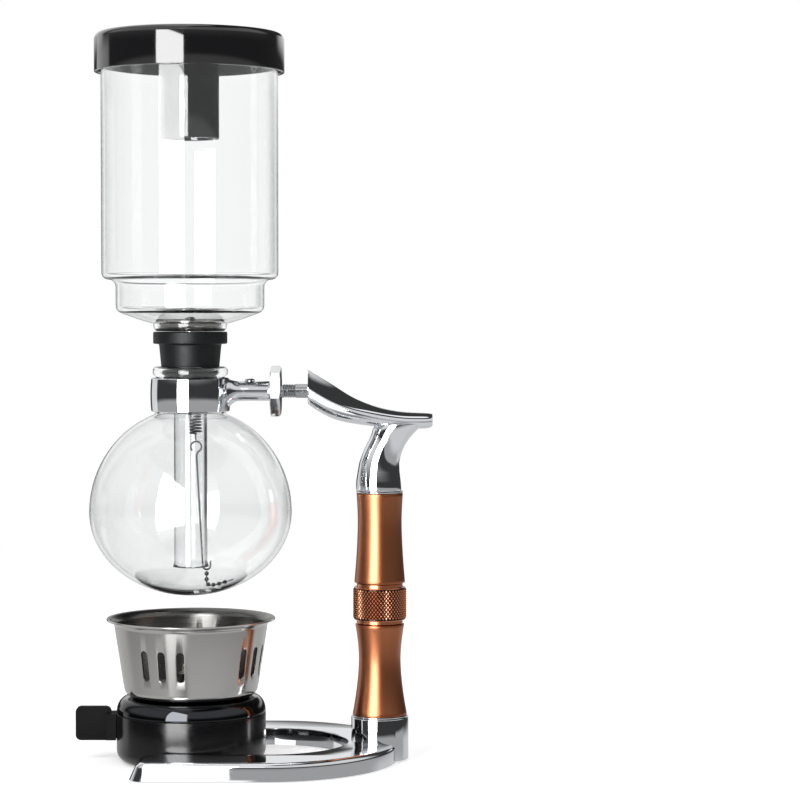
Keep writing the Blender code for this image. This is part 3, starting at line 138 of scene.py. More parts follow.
# %% [markdown]
# ## The studio
# Chrome, gloss black and glass have next to no colour of their own: what the eye reads as their finish
# is the room they mirror. Big lamps would light the floor as well, so the room is drawn in the world
# shader, by direction. Only mirrored rays see the pale table, the backdrop, the ceiling and the darkness
# between them. A ray counts as mirrored once its glossy depth is above zero, unless it was only turned
# round inside a wall of glass. Rays that the camera sends, straight or through glass, meet plain white,
# and matt surfaces get an even, pale light.

# %% World with the room drawn by direction
PLAIN_LIGHT = 0.72
LIGHT_THROUGH_GLASS = 1.05
DARK_ROOM = 0.045

world = bpy.data.worlds.new("studio")
bpy.context.scene.world = world
world.use_nodes = True
sky = world.node_tree
sky.nodes.clear()
direction = add_node(sky, "TexCoord").outputs["Generated"]
axes = add_node(sky, "SeparateXYZ", {"Vector": direction}).outputs
front = combine(sky, "MULTIPLY", axes["Y"], -1.0)
turn = combine(sky, "ARCTAN2", axes["X"], front)
turn_degrees = combine(sky, "MULTIPLY", turn, 180 / math.pi)
away = add_node(sky, "Math", {0: turn_degrees}, operation="ABSOLUTE").outputs[0]
rise = add_node(sky, "Math", {0: axes["Z"]}, operation="ARCSINE").outputs[0]
rise_degrees = combine(sky, "MULTIPLY", rise, 180 / math.pi)


def pale_patch(angle, sides, heights, strength, soft, soft_height=4.0):
    """A pale surface between two angles round the object and two heights above the horizon."""
    left = ease(sky, angle, sides[0] - soft, sides[0] + soft)
    right = ease(sky, angle, sides[1] - soft, sides[1] + soft, 1.0, 0.0)
    bottom = ease(sky, rise_degrees, heights[0] - soft_height, heights[0] + soft_height)
    top = ease(sky, rise_degrees, heights[1] - soft_height, heights[1] + soft_height, 1.0, 0.0)
    patch = combine(sky, "MULTIPLY", combine(sky, "MULTIPLY", left, right),
                    combine(sky, "MULTIPLY", bottom, top))
    return combine(sky, "MULTIPLY", patch, strength)


# Angles round the object: 0 is towards the camera, and right of it is positive
patches = [
    pale_patch(turn_degrees, (-143, -108), (-8, 6), 0.75, 3.0),
    pale_patch(turn_degrees, (-200, -124), (6, 56), 0.85, 5.0, 3.0),
    pale_patch(turn_degrees, (140, 200), (5, 13), 0.90, 8.0, 2.5),
    pale_patch(away, (112, 200), (-100, -7), 0.60, 12.0, 3.0),
    pale_patch(away, (-20, 112), (-100, -4.5), 0.36, 12.0, 1.5),
    pale_patch(away, (-20, 112), (-100, -22), 0.30, 12.0, 9.0),
    pale_patch(away, (-20, 112), (12, 54), 0.75, 12.0, 7.0),
    pale_patch(turn_degrees, (-9, -1), (20, 36), 0.6, 1.0, 3.0),
    pale_patch(turn_degrees, (-12, -3), (-13, -9.8), 0.9, 0.8, 0.3),
    pale_patch(turn_degrees, (-200, 5), (56, 78), 0.80, 10.0, 4.0),
    pale_patch(away, (-20, 200), (75, 100), 1.10, 1.0, 3.0),
]
mirrored = DARK_ROOM
for patch in patches:
    mirrored = combine(sky, "ADD", patch, mirrored)

path = add_node(sky, "LightPath").outputs
# A ray that was turned round inside one glass wall has crossed two surfaces of glass by the time it
# leaves. It stays bright, or each bend of the glass would show as a black line.
crossings = path["Transmission Depth"]
turned_in_glass = combine(sky, "MULTIPLY", combine(sky, "GREATER_THAN", crossings, 0.5),
                          combine(sky, "LESS_THAN", crossings, 3.5))
mirror_share = combine(sky, "MULTIPLY", combine(sky, "GREATER_THAN", path["Glossy Depth"], 0.5),
                       combine(sky, "SUBTRACT", 1.0, turned_in_glass))
matt_share = combine(sky, "GREATER_THAN", path["Diffuse Depth"], 0.5)
strength = PLAIN_LIGHT
for share, level in ((path["Is Transmission Ray"], LIGHT_THROUGH_GLASS), (path["Is Camera Ray"], 1.0),
                     (mirror_share, mirrored), (matt_share, PLAIN_LIGHT)):
    strength = add_node(sky, "Mix", {"Factor": share, "A": strength, "B": level}).outputs[0]
background = add_node(sky, "Background", {"Color": linear("FFFFFF"), "Strength": strength})
add_node(sky, "OutputWorld", {"Surface": background.outputs[0]})
print("pale surfaces in the room:", len(patches))

# %% [markdown]
# ## The softbox
# The main light is a softbox close by at the front left. It ends a little above the lid, whose flat top
# would mirror a taller one. Because it is close, each piece mirrors it at its own angle, and a patch in
# the world could not do that. So it is a glowing panel that only mirrored rays see. Below the table's
# height the same panel goes on, much dimmer: that is its image in the glossy table top.

# %% Softbox and its image in the table
SOFTBOX_STRENGTH = 11.0
SOFTBOX_PLACE = (-0.0948, -0.4218)
SOFTBOX_TURN_DEGREES = -64.3
SOFTBOX_WIDTH = 0.345
SOFTBOX_LOW = -0.5
SOFTBOX_TOP = 0.41
IMAGE_STRENGTH = 1.7
IMAGE_LOW_STRENGTH = 0.3
IMAGE_FADE_LOW = -0.24
EDGE_BLUR = 0.004

bpy.ops.mesh.primitive_plane_add(size=1.0, location=(*SOFTBOX_PLACE, (SOFTBOX_LOW + SOFTBOX_TOP) / 2),
                                 rotation=(math.pi / 2, 0.0, math.radians(SOFTBOX_TURN_DEGREES)))
softbox = bpy.context.object
softbox.name = "softbox"
softbox.scale = (SOFTBOX_WIDTH, SOFTBOX_TOP - SOFTBOX_LOW, 1.0)
softbox.visible_camera = False
softbox.visible_diffuse = False
softbox.visible_shadow = False
panel, tree = bare_material("softbox_panel")
height = add_node(tree, "SeparateXYZ", {
    "Vector": add_node(tree, "NewGeometry").outputs["Position"]}).outputs["Z"]
image = ease(tree, height, IMAGE_FADE_LOW, 0.0, IMAGE_LOW_STRENGTH, IMAGE_STRENGTH)
above_table = ease(tree, height, -EDGE_BLUR, EDGE_BLUR)
level = add_node(tree, "Mix", {"Factor": above_table, "A": image, "B": SOFTBOX_STRENGTH}).outputs[0]
lit = add_node(tree, "Emission", {"Strength": level})
unseen = add_node(tree, "BsdfTransparent")
glossy_depth = add_node(tree, "LightPath").outputs["Glossy Depth"]
mirrored_ray = combine(tree, "GREATER_THAN", glossy_depth, 0.5)
panel_surface = mix_shaders(tree, mirrored_ray, unseen, lit)
add_node(tree, "OutputMaterial", {"Surface": panel_surface.outputs[0]})
softbox.data.materials.append(panel)
print("softbox", SOFTBOX_WIDTH, "m wide, up to", SOFTBOX_TOP, "m")

# %% [markdown]
# ## Floor and lamp
# The object stands on a white table top that runs out of the picture. A wall is not needed, because the
# floor fades into the white of the world. It keeps a soft shadow from one large lamp at the front left.
# Mirrors do not see it, because the world already draws the table for them.

# %% White floor and one soft lamp
FLOOR_SIZE = 12.0
FLOOR_GLOW = 0.42
FLOOR_FADE = (0.35, 1.1)

bpy.ops.mesh.primitive_plane_add(size=FLOOR_SIZE, location=(0.0, 0.0, 0.0))
floor = bpy.context.object
floor.name = "floor"
floor.visible_glossy = False
table_top, tree = bare_material("white_table_top")
spot = add_node(tree, "TexCoord").outputs["Object"]
reach = combine_vectors(tree, "LENGTH", spot)
paint = add_node(tree, "BsdfDiffuse", {"Color": linear("F2F2F2")})
glow = add_node(tree, "Emission", {"Strength": FLOOR_GLOW})
near = add_node(tree, "AddShader", {0: paint.outputs[0], 1: glow.outputs[0]})
rays = add_node(tree, "LightPath").outputs
seen = combine(tree, "MAXIMUM", rays["Is Camera Ray"], rays["Is Transmission Ray"])
seen_floor = mix_shaders(tree, seen, paint, near)
far = add_node(tree, "Emission", {"Strength": 1.0})
open_floor = mix_shaders(tree, ease(tree, reach, *FLOOR_FADE), seen_floor, far)
mirrored_ray = combine(tree, "SUBTRACT", combine(tree, "GREATER_THAN", rays["Glossy Depth"], 0.5),
                       combine(tree, "GREATER_THAN", rays["Diffuse Depth"], 0.5))
unseen = add_node(tree, "BsdfTransparent")
table_surface = mix_shaders(tree, mirrored_ray, open_floor, unseen)
add_node(tree, "OutputMaterial", {"Surface": table_surface.outputs[0]})
floor.data.materials.append(table_top)

LAMP_PLACE = (-0.75, -1.0, 1.35)
LAMP_AIM = (0.02, 0.0, 0.12)
LAMP_SIZE = 0.9
LAMP_WATTS = 9.0
bpy.ops.object.light_add(type="AREA", location=LAMP_PLACE)
lamp = bpy.context.object
lamp.name = "soft_lamp"
lamp.data.shape = "DISK"
lamp.data.size = LAMP_SIZE
lamp.data.energy = LAMP_WATTS
lamp.rotation_euler = (Vector(LAMP_AIM) - Vector(LAMP_PLACE)).to_track_quat("-Z", "Y").to_euler()
lamp.visible_glossy = False
lamp.visible_transmission = False
print("lamp energy in watts:", LAMP_WATTS)

# %% [markdown]
# ## Selecting and drawing in code
# Operators work on what is selected, just as they do by hand. So everything is deselected before each
# piece, and vertices, edges and faces are picked by where they lie. An outline is drawn the way it would
# be with the mouse: a plane is merged to a single vertex, which is then extruded from point to point.

# %% Helpers for selecting
MERGE = 0.002 * MM


def select_only(piece):
    """Object mode, with one piece selected and active."""
    if bpy.context.object and bpy.context.object.mode != "OBJECT":
        bpy.ops.object.mode_set(mode="OBJECT")
    bpy.ops.object.select_all(action="DESELECT")
    if piece:
        piece.select_set(True)
        bpy.context.view_layer.objects.active = piece


def edit(piece):
    """Opens one piece in edit mode with everything selected."""
    select_only(piece)
    bpy.ops.object.mode_set(mode="EDIT")
    bpy.ops.mesh.select_mode(type="VERT")
    bpy.ops.mesh.select_all(action="SELECT")


def pick(piece, kind, wanted):
    """In edit mode, selects the vertices, edges or faces that the wanted function accepts."""
    bpy.ops.mesh.select_mode(type=kind)
    bpy.ops.mesh.select_all(action="DESELECT")
    mesh = bmesh.from_edit_mesh(piece.data)
    parts = {"VERT": mesh.verts, "EDGE": mesh.edges, "FACE": mesh.faces}[kind]
    chosen = [part for part in parts if wanted(part)]
    for part in chosen:
        part.select_set(True)
    mesh.select_flush_mode()
    bmesh.update_edit_mesh(piece.data)
    return len(chosen)


def new_piece(name):
    """An object at the origin with an empty mesh, open in edit mode."""
    select_only(None)
    bpy.ops.mesh.primitive_plane_add(size=MM, location=(0.0, 0.0, 0.0))
    piece = bpy.context.object
    piece.name = name
    piece.data.name = name
    edit(piece)
    bpy.ops.mesh.delete(type="VERT")
    return piece


def draw_line(piece, points, closed=False):
    """Draws points in millimetres as a line of edges, by extruding one vertex from each to the next."""
    spots = [Vector(point) * MM for point in points]
    bpy.ops.mesh.select_mode(type="VERT")
    bpy.ops.mesh.primitive_plane_add(size=MM, location=spots[0])
    bpy.ops.mesh.merge(type="CENTER")
    for here, there in zip(spots, spots[1:]):
        bpy.ops.mesh.extrude_region_move(TRANSFORM_OT_translate={"value": there - here})
    if closed:
        ends = (spots[0], spots[-1])
        pick(piece, "VERT", lambda v: min((v.co - end).length for end in ends) < MERGE)
        bpy.ops.mesh.edge_face_add()


def fill_outline(piece, points):
    """Draws points in millimetres as a closed outline and fills it with one face."""
    draw_line(piece, points)
    bpy.ops.mesh.select_all(action="SELECT")
    bpy.ops.mesh.edge_face_add()


def bevel(width, segments, clamp=False):
    """In edit mode, rounds the selected edges. width is in millimetres."""
    bpy.ops.mesh.bevel(offset=width * MM, segments=segments, profile=0.5, affect="EDGES",
                       clamp_overlap=clamp)


def tidy_mesh():
    """In edit mode, merges doubles first and then turns every face outwards."""
    bpy.ops.mesh.select_mode(type="VERT")
    bpy.ops.mesh.select_all(action="SELECT")
    bpy.ops.mesh.remove_doubles(threshold=MERGE)
    bpy.ops.mesh.normals_make_consistent(inside=False)


def bridge_rings():
    """In edit mode, lays a skin from each ring of edges to the next and closes both ends."""
    bpy.ops.mesh.select_all(action="SELECT")
    bpy.ops.mesh.bridge_edge_loops()
    bpy.ops.mesh.select_all(action="SELECT")
    bpy.ops.mesh.fill_holes(sides=0)
    tidy_mesh()


print("points closer than", MERGE, "m are merged")

# %% [markdown]
# ## Turning, modifiers and finishing
# Most of a siphon is turned or blown, so it is a half section spun round an axis. A screw modifier would
# do as well, but spinning in edit mode keeps the mesh plain from the start. Corners get a small bevel
# modifier, because a real edge is never sharp and its highlight is what makes it look solid.

# %% Helpers for turned pieces
COLUMN_X = 92.1
STUD_Z = 180.4
ROD_HOLE = 3.3


def arc(centre, radii, start, end, steps):
    """Points of an elliptical arc from start to end degrees, both ends included."""
    angles = [math.radians(start + (end - start) * i / steps) for i in range(steps + 1)]
    return [(centre[0] + radii[0] * math.cos(a), centre[1] + radii[1] * math.sin(a)) for a in angles]


def turned(name, outline, steps=96, closed=True, at_x=0.0):
    """Spins a half section of (radius, height) points round an upright axis, all in millimetres."""
    piece = new_piece(name)
    draw_line(piece, [(at_x + radius, 0.0, height) for radius, height in outline], closed)
    bpy.ops.mesh.select_all(action="SELECT")
    bpy.ops.mesh.spin(steps=steps, angle=2 * math.pi, center=(at_x * MM, 0.0, 0.0), axis=(0.0, 0.0, 1.0))
    tidy_mesh()
    select_only(piece)
    return piece


def straight(name, radii, heights, steps=96, at_x=0.0):
    """A turned ring with square corners, or a plain cylinder where the inner radius is 0."""
    (inner, outer), (top, bottom) = radii, heights
    outline = [(inner, top), (outer, top), (outer, bottom), (inner, bottom)]
    return turned(name, outline, steps, closed=inner > 0.0, at_x=at_x)


def lay_along_x(piece, height):
    """Tips a piece that stands on the origin over, so that its axis runs along X at a height."""
    edit(piece)
    bpy.ops.transform.rotate(value=math.pi / 2, orient_axis="Y", center_override=(0.0, 0.0, 0.0))
    mesh = bmesh.from_edit_mesh(piece.data)
    if sum(v.co.x for v in mesh.verts) < 0:
        bpy.ops.transform.rotate(value=math.pi, orient_axis="Y", center_override=(0.0, 0.0, 0.0))
    bpy.ops.transform.translate(value=(0.0, 0.0, height * MM))
    select_only(piece)


def modify(piece, kind, **settings):
    """Adds a modifier with its settings and applies it."""
    select_only(piece)
    bpy.ops.object.modifier_add(type=kind)
    modifier = piece.modifiers[-1]
    for setting, value in settings.items():
        setattr(modifier, setting, value)
    bpy.ops.object.modifier_apply(modifier=modifier.name)


def round_edges(piece, width, segments=2, angle=40):
    """A small bevel on every edge sharper than an angle in degrees. width is in millimetres."""
    modify(piece, "BEVEL", width=width * MM, segments=segments, limit_method="ANGLE",
           angle_limit=math.radians(angle), harden_normals=False)


def carve(piece, tool, operation="DIFFERENCE"):
    """A Boolean with a tool piece, which is used up."""
    modify(piece, "BOOLEAN", object=tool, operation=operation, solver="EXACT")
    bpy.data.objects.remove(tool, do_unlink=True)


def coat(piece, material, sharp):
    """Smooths a piece except where it is sharper than an angle in degrees, and gives it its material."""
    select_only(piece)
    bpy.ops.object.shade_smooth_by_angle(angle=math.radians(sharp))
    piece.data.materials.clear()
    piece.data.materials.append(material)


def finish(piece, body, material, node, sharp=38):
    """Coats a piece, hangs it on the empty of the body it rides on, and hides the CAD node it stands for."""
    coat(piece, material, sharp)
    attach(piece, body)
    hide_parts(node)
    size = [round(side / MM, 1) for side in piece.dimensions]
    print(piece.name, "faces:", len(piece.data.polygons), "size in mm:", size)


print("column axis at", COLUMN_X, "mm, stud axis at", STUD_Z, "mm")

# %% [markdown]
# ## Chromed zinc
# The stand, the collar and the nut are zinc castings, polished and plated with chromium. Chromium is a
# slightly blue mirror. It is almost smooth, but hands and cloths leave faint smears that only show where
# a highlight ends, and the casting under it is never quite flat. Both are soft noise: one in roughness,
# one as a bump a few micrometres high.

# %% Chrome-plated zinc
def base_material(name, **sockets):
    """A material with its tree and shader. Socket names are written with underscores."""
    made = bpy.data.materials.new(name)
    made.use_nodes = True
    shader = made.node_tree.nodes["Principled BSDF"]
    for socket, value in sockets.items():
        shader.inputs[socket.replace("_", " ")].default_value = value
    return made, made.node_tree, shader


def per_mm(size):
    """How many patterns of a size in millimetres fit in a metre."""
    return 1.0 / (size * MM)


def noise(tree, sizes, detail, roughness=0.5, centre=(0.0, 0.0, 0.0)):
    """Soft noise. Its patterns have one size in millimetres, or one each along X, Y and Z."""
    if isinstance(sizes, float):
        sizes = (sizes,) * 3
    place = add_node(tree, "TexCoord").outputs["Object"]
    moved = combine_vectors(tree, "SUBTRACT", place, centre)
    scaled = add_node(tree, "Mapping", {"Vector": moved,
                                                  "Scale": [per_mm(size) for size in sizes]}).outputs[0]
    return add_node(tree, "TexNoise", {"Vector": scaled, "Scale": 1.0, "Detail": detail,
                                                 "Roughness": roughness}).outputs["Fac"]


def vary_roughness(tree, shader, value, start, end, low, high):
    """Lets the roughness go from low to high while a socket's value goes from start to end."""
    tree.links.new(ease(tree, value, start, end, low, high), shader.inputs["Roughness"])


def relief(tree, shader, height, depth, strength=1.0):
    """Bends the light as a relief would whose depth is given in millimetres."""
    bump = add_node(tree, "Bump", {"Height": height, "Strength": strength, "Distance": depth * MM})
    tree.links.new(bump.outputs[0], shader.inputs["Normal"])
    return bump.outputs[0]


def blend_colours(tree, share, first, second):
    """A colour between two hex codes, by a socket's share of the second."""
    mix = add_node(tree, "Mix", {"Factor": share}, data_type="RGBA")
    sockets = [s for s in mix.inputs if s.type == "RGBA"]
    sockets[0].default_value = linear(first)
    sockets[1].default_value = linear(second)
    return [s for s in mix.outputs if s.type == "RGBA"][0]


SMEAR_MM = 14.0
RIPPLE_MM = 9.0

chrome, tree, shader = base_material("chrome_plated_zinc", Base_Color=linear("E4E6E9"), Metallic=1.0)
vary_roughness(tree, shader, noise(tree, SMEAR_MM, 5.0, 0.62), 0.42, 0.72, 0.025, 0.085)
relief(tree, shader, noise(tree, RIPPLE_MM, 1.0), 0.012)
print(chrome.name, "smears of", SMEAR_MM, "mm")

# %% [markdown]
# ## Copper-coloured aluminium
# The column is turned aluminium, anodised and dyed copper. The dyed layer is clear and hard, so there are
# two reflections: a broad warm one from the metal, and a crisp pale one from the surface. That is a
# metal with a clear coat. The lathe leaves rings a few hundredths of a millimetre apart. They are drawn
# 0.12 mm apart here, because finer ones would not show. The knurl has its own material, with painted
# shade that darkens its grooves; its points and its plain ends keep a lighter copper.

# %% Copper-anodised aluminium
TURNING_MM = 0.12
KNURL_LOW = 69.4
KNURL_HIGH = 84.5
KNURL_MARGIN = 0.1

copper, tree, shader = base_material("copper_anodised_aluminium", Metallic=1.0, Coat_Weight=0.1,
                                     Coat_Roughness=0.05, Coat_IOR=1.6)
rings = noise(tree, (500.0, 500.0, TURNING_MM), 3.0, centre=(COLUMN_X * MM, 0.0, 0.0))
dye = noise(tree, (22.0, 22.0, 60.0), 3.0)
tree.links.new(blend_colours(tree, dye, "AE6A48", "BC7652"), shader.inputs["Base Color"])
vary_roughness(tree, shader, rings, 0.3, 0.7, 0.29, 0.35)
relief(tree, shader, rings, 0.003)

knurled_copper, tree, shader = base_material("knurled_copper_aluminium", Metallic=1.0, Roughness=0.24,
                                             Coat_Weight=0.25, Coat_Roughness=0.05)
place = add_node(tree, "TexCoord").outputs["Object"]
around = combine_vectors(tree, "SUBTRACT", place, (COLUMN_X * MM, 0.0, 0.0))
radius = combine_vectors(tree, "LENGTH", combine_vectors(tree, "MULTIPLY", around, (1.0, 1.0, 0.0)))
height = add_node(tree, "SeparateXYZ", {"Vector": around}).outputs["Z"]
# Painted shade in the knurl: the grooves get a near-black copper, the points and the plain ends above and
# below a lighter one
point = ease(tree, radius, 12.62 * MM, 12.95 * MM)
above = ease(tree, height, KNURL_HIGH * MM, (KNURL_HIGH + KNURL_MARGIN) * MM)
below = ease(tree, height, (KNURL_LOW - KNURL_MARGIN) * MM, KNURL_LOW * MM, 1.0, 0.0)
bright = combine(tree, "MAXIMUM", point, combine(tree, "MAXIMUM", above, below))
tree.links.new(blend_colours(tree, bright, "331A10", "C77F58"), shader.inputs["Base Color"])
print(copper.name, "rings of", TURNING_MM, "mm")

# %% [markdown]
# ## Stainless steel, bright steel and black chrome
# The windscreen is spun from stainless sheet and brushed round, so its highlights are drawn out upwards
# into soft bands. Brushing is a noise squeezed along the height: fine lines of uneven depth. Inside, the
# steel gets painted shade and more roughness; inside is where the surface faces the cup's axis. The stud
# and the screw are bright bar, the spring, hook and chain darker drawn wire. The burner's shoulder has
# black chrome, a dark mirror.

# %% Brushed stainless steel, bright bar, dark wire and black chrome
BRUSH_MM = 0.16

stainless, tree, shader = base_material("brushed_stainless_steel", Metallic=1.0)
brush = noise(tree, (200.0, 200.0, BRUSH_MM), 4.0, 0.6)
place = add_node(tree, "TexCoord").outputs
outwards = combine_vectors(tree, "MULTIPLY", place["Object"], (1.0, 1.0, 0.0))
faces_out = combine_vectors(tree, "DOT_PRODUCT", outwards, place["Normal"])
# Painted shade: faces turned towards the cup's axis get a darker steel colour, and more roughness
inside_painted_shade = ease(tree, faces_out, -0.002, -0.0005, 1.0, 0.0)
tree.links.new(blend_colours(tree, inside_painted_shade, "B9B8B5", "6E6D6B"), shader.inputs["Base Color"])
rough = combine(tree, "ADD", ease(tree, brush, 0.3, 0.7, 0.13, 0.19), combine(tree, "MULTIPLY", inside_painted_shade, 0.12))
tree.links.new(rough, shader.inputs["Roughness"])
relief(tree, shader, brush, 0.0012)

WIRE_MARK_MM = 1.5
bright_steel, tree, shader = base_material("bright_steel", Base_Color=linear("A9ABAD"), Metallic=1.0)
vary_roughness(tree, shader, noise(tree, WIRE_MARK_MM, 4.0), 0.35, 0.7, 0.07, 0.16)

wire_steel, tree, shader = base_material("drawn_steel_wire", Base_Color=linear("5C5E60"), Metallic=1.0,
                                         Roughness=0.22)

black_chrome, tree, shader = base_material("black_chrome", Base_Color=linear("3A3B3E"), Metallic=1.0)
vary_roughness(tree, shader, noise(tree, SMEAR_MM, 5.0), 0.4, 0.7, 0.04, 0.12)
print("brush lines of", BRUSH_MM, "mm")

# %% [markdown]
# ## Borosilicate glass
# Laboratory and coffee glass is borosilicate, blown or drawn to a wall of under 2 mm, with an index of
# refraction of 1.474. The walls are real, with an inner and an outer skin, so light bends as it should.
# Looking along a wall the eye meets much more glass, which is why the edges of a vessel look grey. That
# is a colour that darkens as the surface turns away.

# %% Borosilicate glass
def clear_glass(name, middle, edge):
    """Glass with a colour for where the eye looks straight through and one for its edges."""
    made, tree, shader = base_material(name, Roughness=0.0, IOR=1.474, Transmission_Weight=1.0)
    facing = add_node(tree, "LayerWeight", {"Blend": 0.5}).outputs["Facing"]
    turned_away = ease(tree, facing, 0.62, 0.98)
    tree.links.new(blend_colours(tree, turned_away, middle, edge), shader.inputs["Base Color"])
    return made


glass = clear_glass("borosilicate_glass", "FDFEFE", "D6DADC")
globe_glass = clear_glass("blown_borosilicate_glass", "F8F9F9", "D0D4D6")
print("clear glasses:", glass.name, globe_glass.name)

# %% [markdown]
# ## Black plastics and rubber
# The lid and its socket are moulded in a gloss black thermoset with a skin like lacquer, so they get a
# clear coat over near-black. The tank is the same plastic without that skin: it mirrors the softbox only
# as a soft, dim patch. The lever comes from a matt tool. The stopper is moulded rubber: dark grey, dull,
# with a bloom of fine dust.

# %% Gloss black, matt black and rubber
PEEL_MM = 3.0
TOOL_GRAIN_MM = 0.3
DUST_MM = 1.2

gloss_black, tree, shader = base_material("gloss_black_plastic", Base_Color=linear("151517"), Roughness=0.08,
                                          Coat_Weight=1.0, Coat_Roughness=0.02, Coat_IOR=1.5)
peel = relief(tree, shader, noise(tree, PEEL_MM, 1.0), 0.003)
tree.links.new(peel, shader.inputs["Coat Normal"])

satin_black, tree, shader = base_material("satin_black_plastic", Base_Color=linear("0B0B0D"))
vary_roughness(tree, shader, noise(tree, PEEL_MM, 4.0), 0.3, 0.7, 0.16, 0.22)

matt_black, tree, shader = base_material("matt_black_plastic", Base_Color=linear("0C0C0E"),
                                         Specular_IOR_Level=0.15)
grain = noise(tree, TOOL_GRAIN_MM, 2.0)
vary_roughness(tree, shader, grain, 0.3, 0.7, 0.55, 0.75)
relief(tree, shader, grain, 0.02)

rubber, tree, shader = base_material("black_rubber", Specular_IOR_Level=0.3)
dust = noise(tree, DUST_MM, 6.0, 0.7)
dusty = blend_colours(tree, ease(tree, dust, 0.45, 0.8), "121416", "1E2225")
tree.links.new(dusty, shader.inputs["Base Color"])
vary_roughness(tree, shader, dust, 0.3, 0.7, 0.38, 0.56)
relief(tree, shader, dust, 0.015)
print("made:", gloss_black.name, satin_black.name, matt_black.name, rubber.name)

# %% [markdown]
# ## Cotton
# The filter is brushed cotton flannel, the wick is braided cotton. Both are off-white threads that cross.
# Two bands of waves at right angles give the crossing, and the height of the threads is a bump. The same
# height darkens the colour where the threads dip, which is painted shade between them. The threads of the
# flannel are 0.45 mm apart.

# %% Cotton flannel and cotton braid
THREAD_MM = 0.45
BRAID_MM = 1.1


def woven(name, thread_mm, light, dark, slant):
    """Cotton with two crossing sets of threads. slant turns both sets, in degrees."""
    made, tree, shader = base_material(name, Roughness=0.95, Sheen_Weight=0.25, Sheen_Roughness=0.5)
    place = add_node(tree, "TexCoord").outputs["Object"]
    sets = []
    for turned_by in (slant, slant + 90):
        laid = add_node(tree, "Mapping", {"Vector": place, "Scale": (per_mm(thread_mm),) * 3,
                                                    "Rotation": (0.0, math.radians(slant / 2),
                                                                 math.radians(turned_by))}).outputs[0]
        wave = add_node(tree, "TexWave", {"Vector": laid, "Scale": 1 / math.pi, "Distortion": 0.6,
                                                    "Detail": 1.0}, wave_profile="SIN").outputs["Fac"]
        sets.append(wave)
    height = combine(tree, "MULTIPLY", sets[0], sets[1])
    # Painted shade: the thread colour goes darker where the threads dip between the crossings
    tree.links.new(blend_colours(tree, height, dark, light), shader.inputs["Base Color"])
    relief(tree, shader, height, thread_mm / 4, 0.8)
    return made


flannel = woven("cotton_flannel", THREAD_MM, "B9B4AA", "6F6B63", 0.0)
braid = woven("cotton_braid", BRAID_MM, "E8E1D2", "A79F8E", 45.0)
print(flannel.name, "and", braid.name)

# %% [markdown]
# ## The fuel tank
# The burner's tank is a moulded cup with a well-rounded bottom edge. A window at the back left lets the
# flame lever in. The cup is turned, and the window is cut with a piece of a ring: a small face, spun
# through the lever's swing. With no window open, a positive spin runs clockwise seen from above, and so
# does transform.rotate, which is why the helper turns the sign round.

# %% Fuel tank
LEVER_SWING_DEGREES = 60.0
SLOT_PLAY_DEGREES = 5.0
WINDOW_REACH = (-32.2, -38.4)
WINDOW_HEIGHTS = (14.2, 20.4)


def rotate_about_z(degrees):
    """In edit mode, turns what is selected round the upright axis, anticlockwise from above."""
    bpy.ops.transform.rotate(value=-math.radians(degrees), orient_axis="Z", center_override=(0.0, 0.0, 0.0))


inside = arc((31.2, 5.5), (3.0, 3.0), -90, 0, 6)
outside = arc((30.4, 6.0), (6.0, 6.0), 0, -90, 12)
tank = turned("fuel_tank", [(0.0, 2.5)] + inside + [(34.2, 23.6), (36.4, 23.6)] + outside + [(0.0, 0.0)],
              steps=128, closed=False)
window = new_piece("lever_window_tool")
fill_outline(window, [(WINDOW_REACH[0], 0.0, WINDOW_HEIGHTS[0]), (WINDOW_REACH[1], 0.0, WINDOW_HEIGHTS[0]),
                      (WINDOW_REACH[1], 0.0, WINDOW_HEIGHTS[1]), (WINDOW_REACH[0], 0.0, WINDOW_HEIGHTS[1])])
rotate_about_z(SLOT_PLAY_DEGREES)
bpy.ops.mesh.spin(steps=20, angle=math.radians(LEVER_SWING_DEGREES + 2 * SLOT_PLAY_DEGREES),
                  center=(0.0, 0.0, 0.0), axis=(0.0, 0.0, 1.0))
tidy_mesh()
carve(tank, window)
round_edges(tank, 0.35, 3)
finish(tank, "burner", satin_black, "burner_tank")

# %% [markdown]
# ## Shoulder, wick holder and wick tube
# The shoulder is a pressed dome in black chrome that drops into the tank. In its middle sits a flanged
# steel bush, and the wick tube slides in that. All three are turned; the dome's curve is a quarter of an
# ellipse. They are mostly hidden by the windscreen, but they show from above.

# %% Shoulder, holder and tube
dome = arc((31.2, 23.9), (5.2, 7.5), 78, 0, 12)
shoulder = turned("burner_dome", [(9.8, 31.4), (31.2, 31.4)] + dome + [
    (33.9, 23.9), (33.9, 21.7), (32.1, 21.7), (32.1, 26.4), (29.4, 29.6), (9.8, 29.6)], steps=128)
round_edges(shoulder, 0.3, 3, 30)
finish(shoulder, "burner", black_chrome, "burner_shoulder")

holder = turned("wick_bush", [(6.7, 38.5), (9.5, 38.5), (9.5, 33.5), (12.0, 33.5), (12.0, 31.7), (9.5, 31.7),
                              (9.5, 25.6), (6.7, 25.6)], steps=64)
round_edges(holder, 0.4, 3)
finish(holder, "burner", bright_steel, "wick_holder")

tube = straight("wick_sleeve", (5.0, 6.4), (43.0, 14.0), steps=48)
round_edges(tube, 0.3, 3)
finish(tube, "wick_carrier", bright_steel, "wick_tube")

# %% [markdown]
# ## The wick
# A round wick is braided: strands wind to the left and to the right and pass over and under each other.
# A bump map would look flat at the cut end, so the strands are modelled. One line is drawn as a spiral
# whose distance from the axis swings in and out, it becomes a curve with a round bevel, and that strand
# is copied round the core. Strands the other way are the same with the swing reversed.

# %% Wick
STRANDS_EACH_WAY = 6
STRAND_STEPS = 42
STRAND_RADIUS = 0.78
STRAND_PATH = 3.55
STRAND_SWING = 0.28
WICK_LOW = 4.4
WICK_HIGH = 46.5
WICK_LEAD = 27.0


